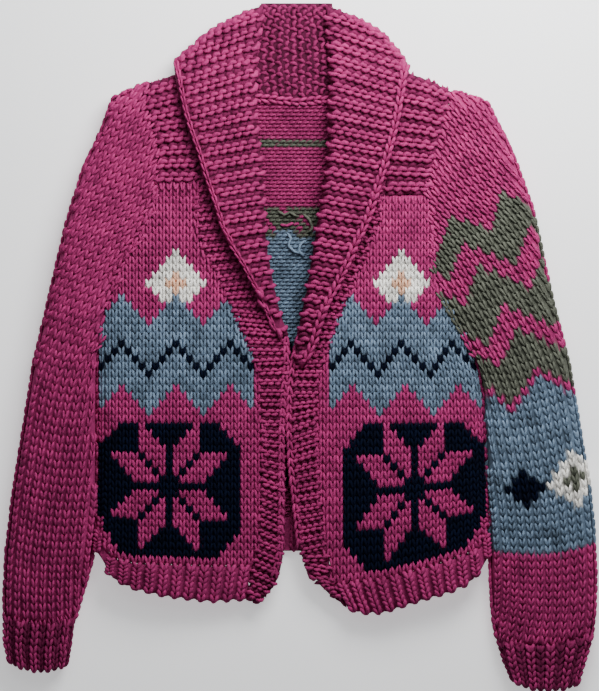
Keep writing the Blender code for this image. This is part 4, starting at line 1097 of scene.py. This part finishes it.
def make_collar():
    """The collar behind the neck: a net of tilted bumps inside, ridges underneath, and the neck's seam."""
    shell = make_shell("collar_back", edge=7.0)
    cloth = Cloth(shell)
    bumps, seam = Laying(cloth), Laying(cloth)
    stand = np.array(STAND, float)
    lines = []
    for place in (np.arange(COUNTS["stand"]) * 2 + 1) / (2 * COUNTS["stand"]):
        points = [(mix(right, left, place), y) for y, right, left in stand]
        lines.append(np.array([(points[0][0], 358.5)] + points))
    for number, line in enumerate(lines):
        for index in range(int(path_lengths(line)[-1] / NET_STEP)):
            spot = along(line, (index + 0.25 + 0.5 * (number % 2)) * NET_STEP) + SHIFT
            found = cloth.meet(*spot)
            if found is None or found[1][2] < GARTER_FACING:
                continue
            tilt = NET_TILTS[(number + index) % 2] + 0.5 * noise.noise(Vector((*spot, 3.0)) * 0.2)
            up = np.array((-math.sin(tilt), math.cos(tilt)))
            sink = NET_SINK[0] + NET_SINK[1] * noise.noise(Vector((*spot, 9.0)) * 0.3)
            # the net's yarn is darkened as painted shade inside the collar
            bumps.put(found, up * NET_HEIGHT, (up[1] * NET_WIDTH, -up[0] * NET_WIDTH), GARTER_DRAWN,
                      "raspberry", shade=NET_SHADE, thick=NET_THICK, sink=sink)
    under = []
    for place in np.linspace(-112, 100, 15):
        under.append(np.array([(place, 262.0), (place * 0.95, 300.0), (place * 0.6, LAPEL_TOP)]))
    garter_ridges(bumps, under, RIDGE_HALF["collar"], side=-1, thick=0.8)
    neck = NECK_SEAM[1:-1]
    line = along(neck, np.linspace(0, path_lengths(neck)[-1], 20)) + (0, 4.0)
    chain(seam, line, *CHAINS["neck"], thick=1.5)
    layers = [bumps.knit("collar_back_bumps", garter_shape()), seam.knit("neck_seam", knit_shape())]
    dress("collar_back", shell, [bumps, seam], layers,
          gap_shade="collar")


def make_tails(cloth):
    """Short loose ends of yarn on the wrong side of the back's pattern."""
    shape = bmesh.new()
    layer = shape.loops.layers.uv.new("yarn")
    tints = []
    for yarn, points in TAILS:
        base = getattr(bpy.context.scene.cardigan_yarns, yarn)
        line = along(points, np.linspace(0, path_lengths(points)[-1], 9))
        spots = []
        for place, (x, y) in enumerate(line):
            found = cloth.meet(x + SHIFT[0], y + SHIFT[1])
            if found is None:
                raise RuntimeError("a loose end of yarn lies off the back")
            lift = TAIL_LIFT * math.sin(math.pi * min(1.0, (place + 1) / 4.0) / 2)
            spots.append(found[0] + (0, 0, lift))
        strand(shape, layer, np.array(spots) * MM, [0] + [TAIL_RADIUS * MM] * (len(spots) - 2) + [0], 6)
        tints += [(*base, 1.0)] * (len(shape.verts) - len(tints))
    bmesh.ops.recalc_face_normals(shape, faces=shape.faces)
    mesh = smooth_mesh("yarn_tails", shape)
    mesh.materials.append(yarn_material())
    mesh.attributes.new("tint", "FLOAT_COLOR", "POINT").data.foreach_set("color", np.array(tints).ravel())
    return add_object("yarn_tails", mesh)


# Stage

def make_stage():
    stage = bpy.context.scene.cardigan_stage
    scene = bpy.context.scene
    mesh = bpy.data.meshes.new("floor")
    corners = [(x * FLOOR_REACH, y * FLOOR_REACH, 0) for x, y in ((-1, -1), (1, -1), (1, 1), (-1, 1))]
    mesh.from_pydata(corners, [], [(0, 1, 2, 3)])
    material = bpy.data.materials.new("pale_floor")
    material.use_nodes = True
    set_inputs(material.node_tree, material.node_tree.nodes["Principled BSDF"], {
        "Base Color": FLOOR_COLOUR, "Roughness": 0.9, "Emission Color": FLOOR_COLOUR,
        "Emission Strength": FLOOR_GLOW})
    mesh.materials.append(material)
    add_object("floor", mesh)
    world = scene.world or bpy.data.worlds.new("studio")
    scene.world = world
    world.use_nodes = True
    set_inputs(world.node_tree, world.node_tree.nodes["Background"], {
        "Color": (0.93, 0.95, 1.0, 1), "Strength": stage.fill})
    for name, place, aim, size, power in LIGHTS:
        light = bpy.data.lights.new(name, "AREA")
        light.size, light.energy = size, stage.light * power
        lamp = add_object(name, light)
        lamp.location = place
        lamp.rotation_euler = (Vector(aim) - Vector(place)).to_track_quat("-Z", "Y").to_euler()
    camera = bpy.data.cameras.new("camera")
    camera.sensor_fit, camera.sensor_height = "VERTICAL", SENSOR
    camera.lens = SENSOR * stage.camera_height / stage.view_height
    eye = add_object("camera", camera)
    eye.location = (SHIFT[0] * MM, (VIEW_MIDDLE + SHIFT[1]) * MM, stage.camera_height + VIEW_LEVEL)
    scene.camera = eye


# Operators and panel

class CARDIGAN_OT_back(bpy.types.Operator):
    """Knit the back and its hem rib"""
    bl_idname = "cardigan.back"
    bl_label = "Back"

    def execute(self, context):
        make_back()
        make_back_rib()
        return {"FINISHED"}


class CARDIGAN_OT_fronts(bpy.types.Operator):
    """Knit the two fronts and their hem ribs"""
    bl_idname = "cardigan.fronts"
    bl_label = "Fronts"

    def execute(self, context):
        for word in SIGN:
            make_front(word)
            make_front_rib(word)
        return {"FINISHED"}


class CARDIGAN_OT_sleeves(bpy.types.Operator):
    """Knit the sleeves and their cuffs"""
    bl_idname = "cardigan.sleeves"
    bl_label = "Sleeves"

    def execute(self, context):
        for word in SIGN:
            make_sleeve(word)
            make_cuff(word)
        return {"FINISHED"}


class CARDIGAN_OT_garter(bpy.types.Operator):
    """Knit the yokes, the front bands and the lapels"""
    bl_idname = "cardigan.garter"
    bl_label = "Yokes, bands and lapels"

    def execute(self, context):
        for word in SIGN:
            make_yoke(word)
            make_band(word)
            make_lapel(word)
        return {"FINISHED"}


class CARDIGAN_OT_collar(bpy.types.Operator):
    """Knit the collar behind the neck"""
    bl_idname = "cardigan.collar"
    bl_label = "Collar"

    def execute(self, context):
        make_collar()
        return {"FINISHED"}


class CARDIGAN_OT_stage(bpy.types.Operator):
    """Set the floor, the lights and the camera"""
    bl_idname = "cardigan.stage"
    bl_label = "Stage"

    def execute(self, context):
        make_stage()
        return {"FINISHED"}


OPERATORS = (CARDIGAN_OT_back, CARDIGAN_OT_fronts, CARDIGAN_OT_sleeves, CARDIGAN_OT_garter,
             CARDIGAN_OT_collar, CARDIGAN_OT_stage)


class CARDIGAN_PT_panel(bpy.types.Panel):
    bl_idname = "CARDIGAN_PT_panel"
    bl_label = "Cardigan"
    bl_space_type = "VIEW_3D"
    bl_region_type = "UI"
    bl_category = "Cardigan"

    def draw(self, context):
        scene = context.scene
        for group in (scene.cardigan_yarns, scene.cardigan_knit, scene.cardigan_stage):
            for key in group.__annotations__:
                self.layout.prop(group, key)
        for operator in OPERATORS:
            self.layout.operator(operator.bl_idname)


CLASSES = (CardiganYarns, CardiganKnit, CardiganStage) + OPERATORS + (CARDIGAN_PT_panel,)


def register():
    for item in CLASSES:
        bpy.utils.register_class(item)
    bpy.types.Scene.cardigan_yarns = PointerProperty(type=CardiganYarns)
    bpy.types.Scene.cardigan_knit = PointerProperty(type=CardiganKnit)
    bpy.types.Scene.cardigan_stage = PointerProperty(type=CardiganStage)


def unregister():
    del bpy.types.Scene.cardigan_stage, bpy.types.Scene.cardigan_knit, bpy.types.Scene.cardigan_yarns
    for item in reversed(CLASSES):
        bpy.utils.unregister_class(item)


def main():
    register()
    for step in ("stage", "back", "fronts", "sleeves", "garter", "collar"):
        getattr(bpy.ops.cardigan, step)()
    for shape in [item for item in bpy.data.objects if item.name in SHAPES]:
        bpy.data.objects.remove(shape)


if __name__ == "__main__":
    main()
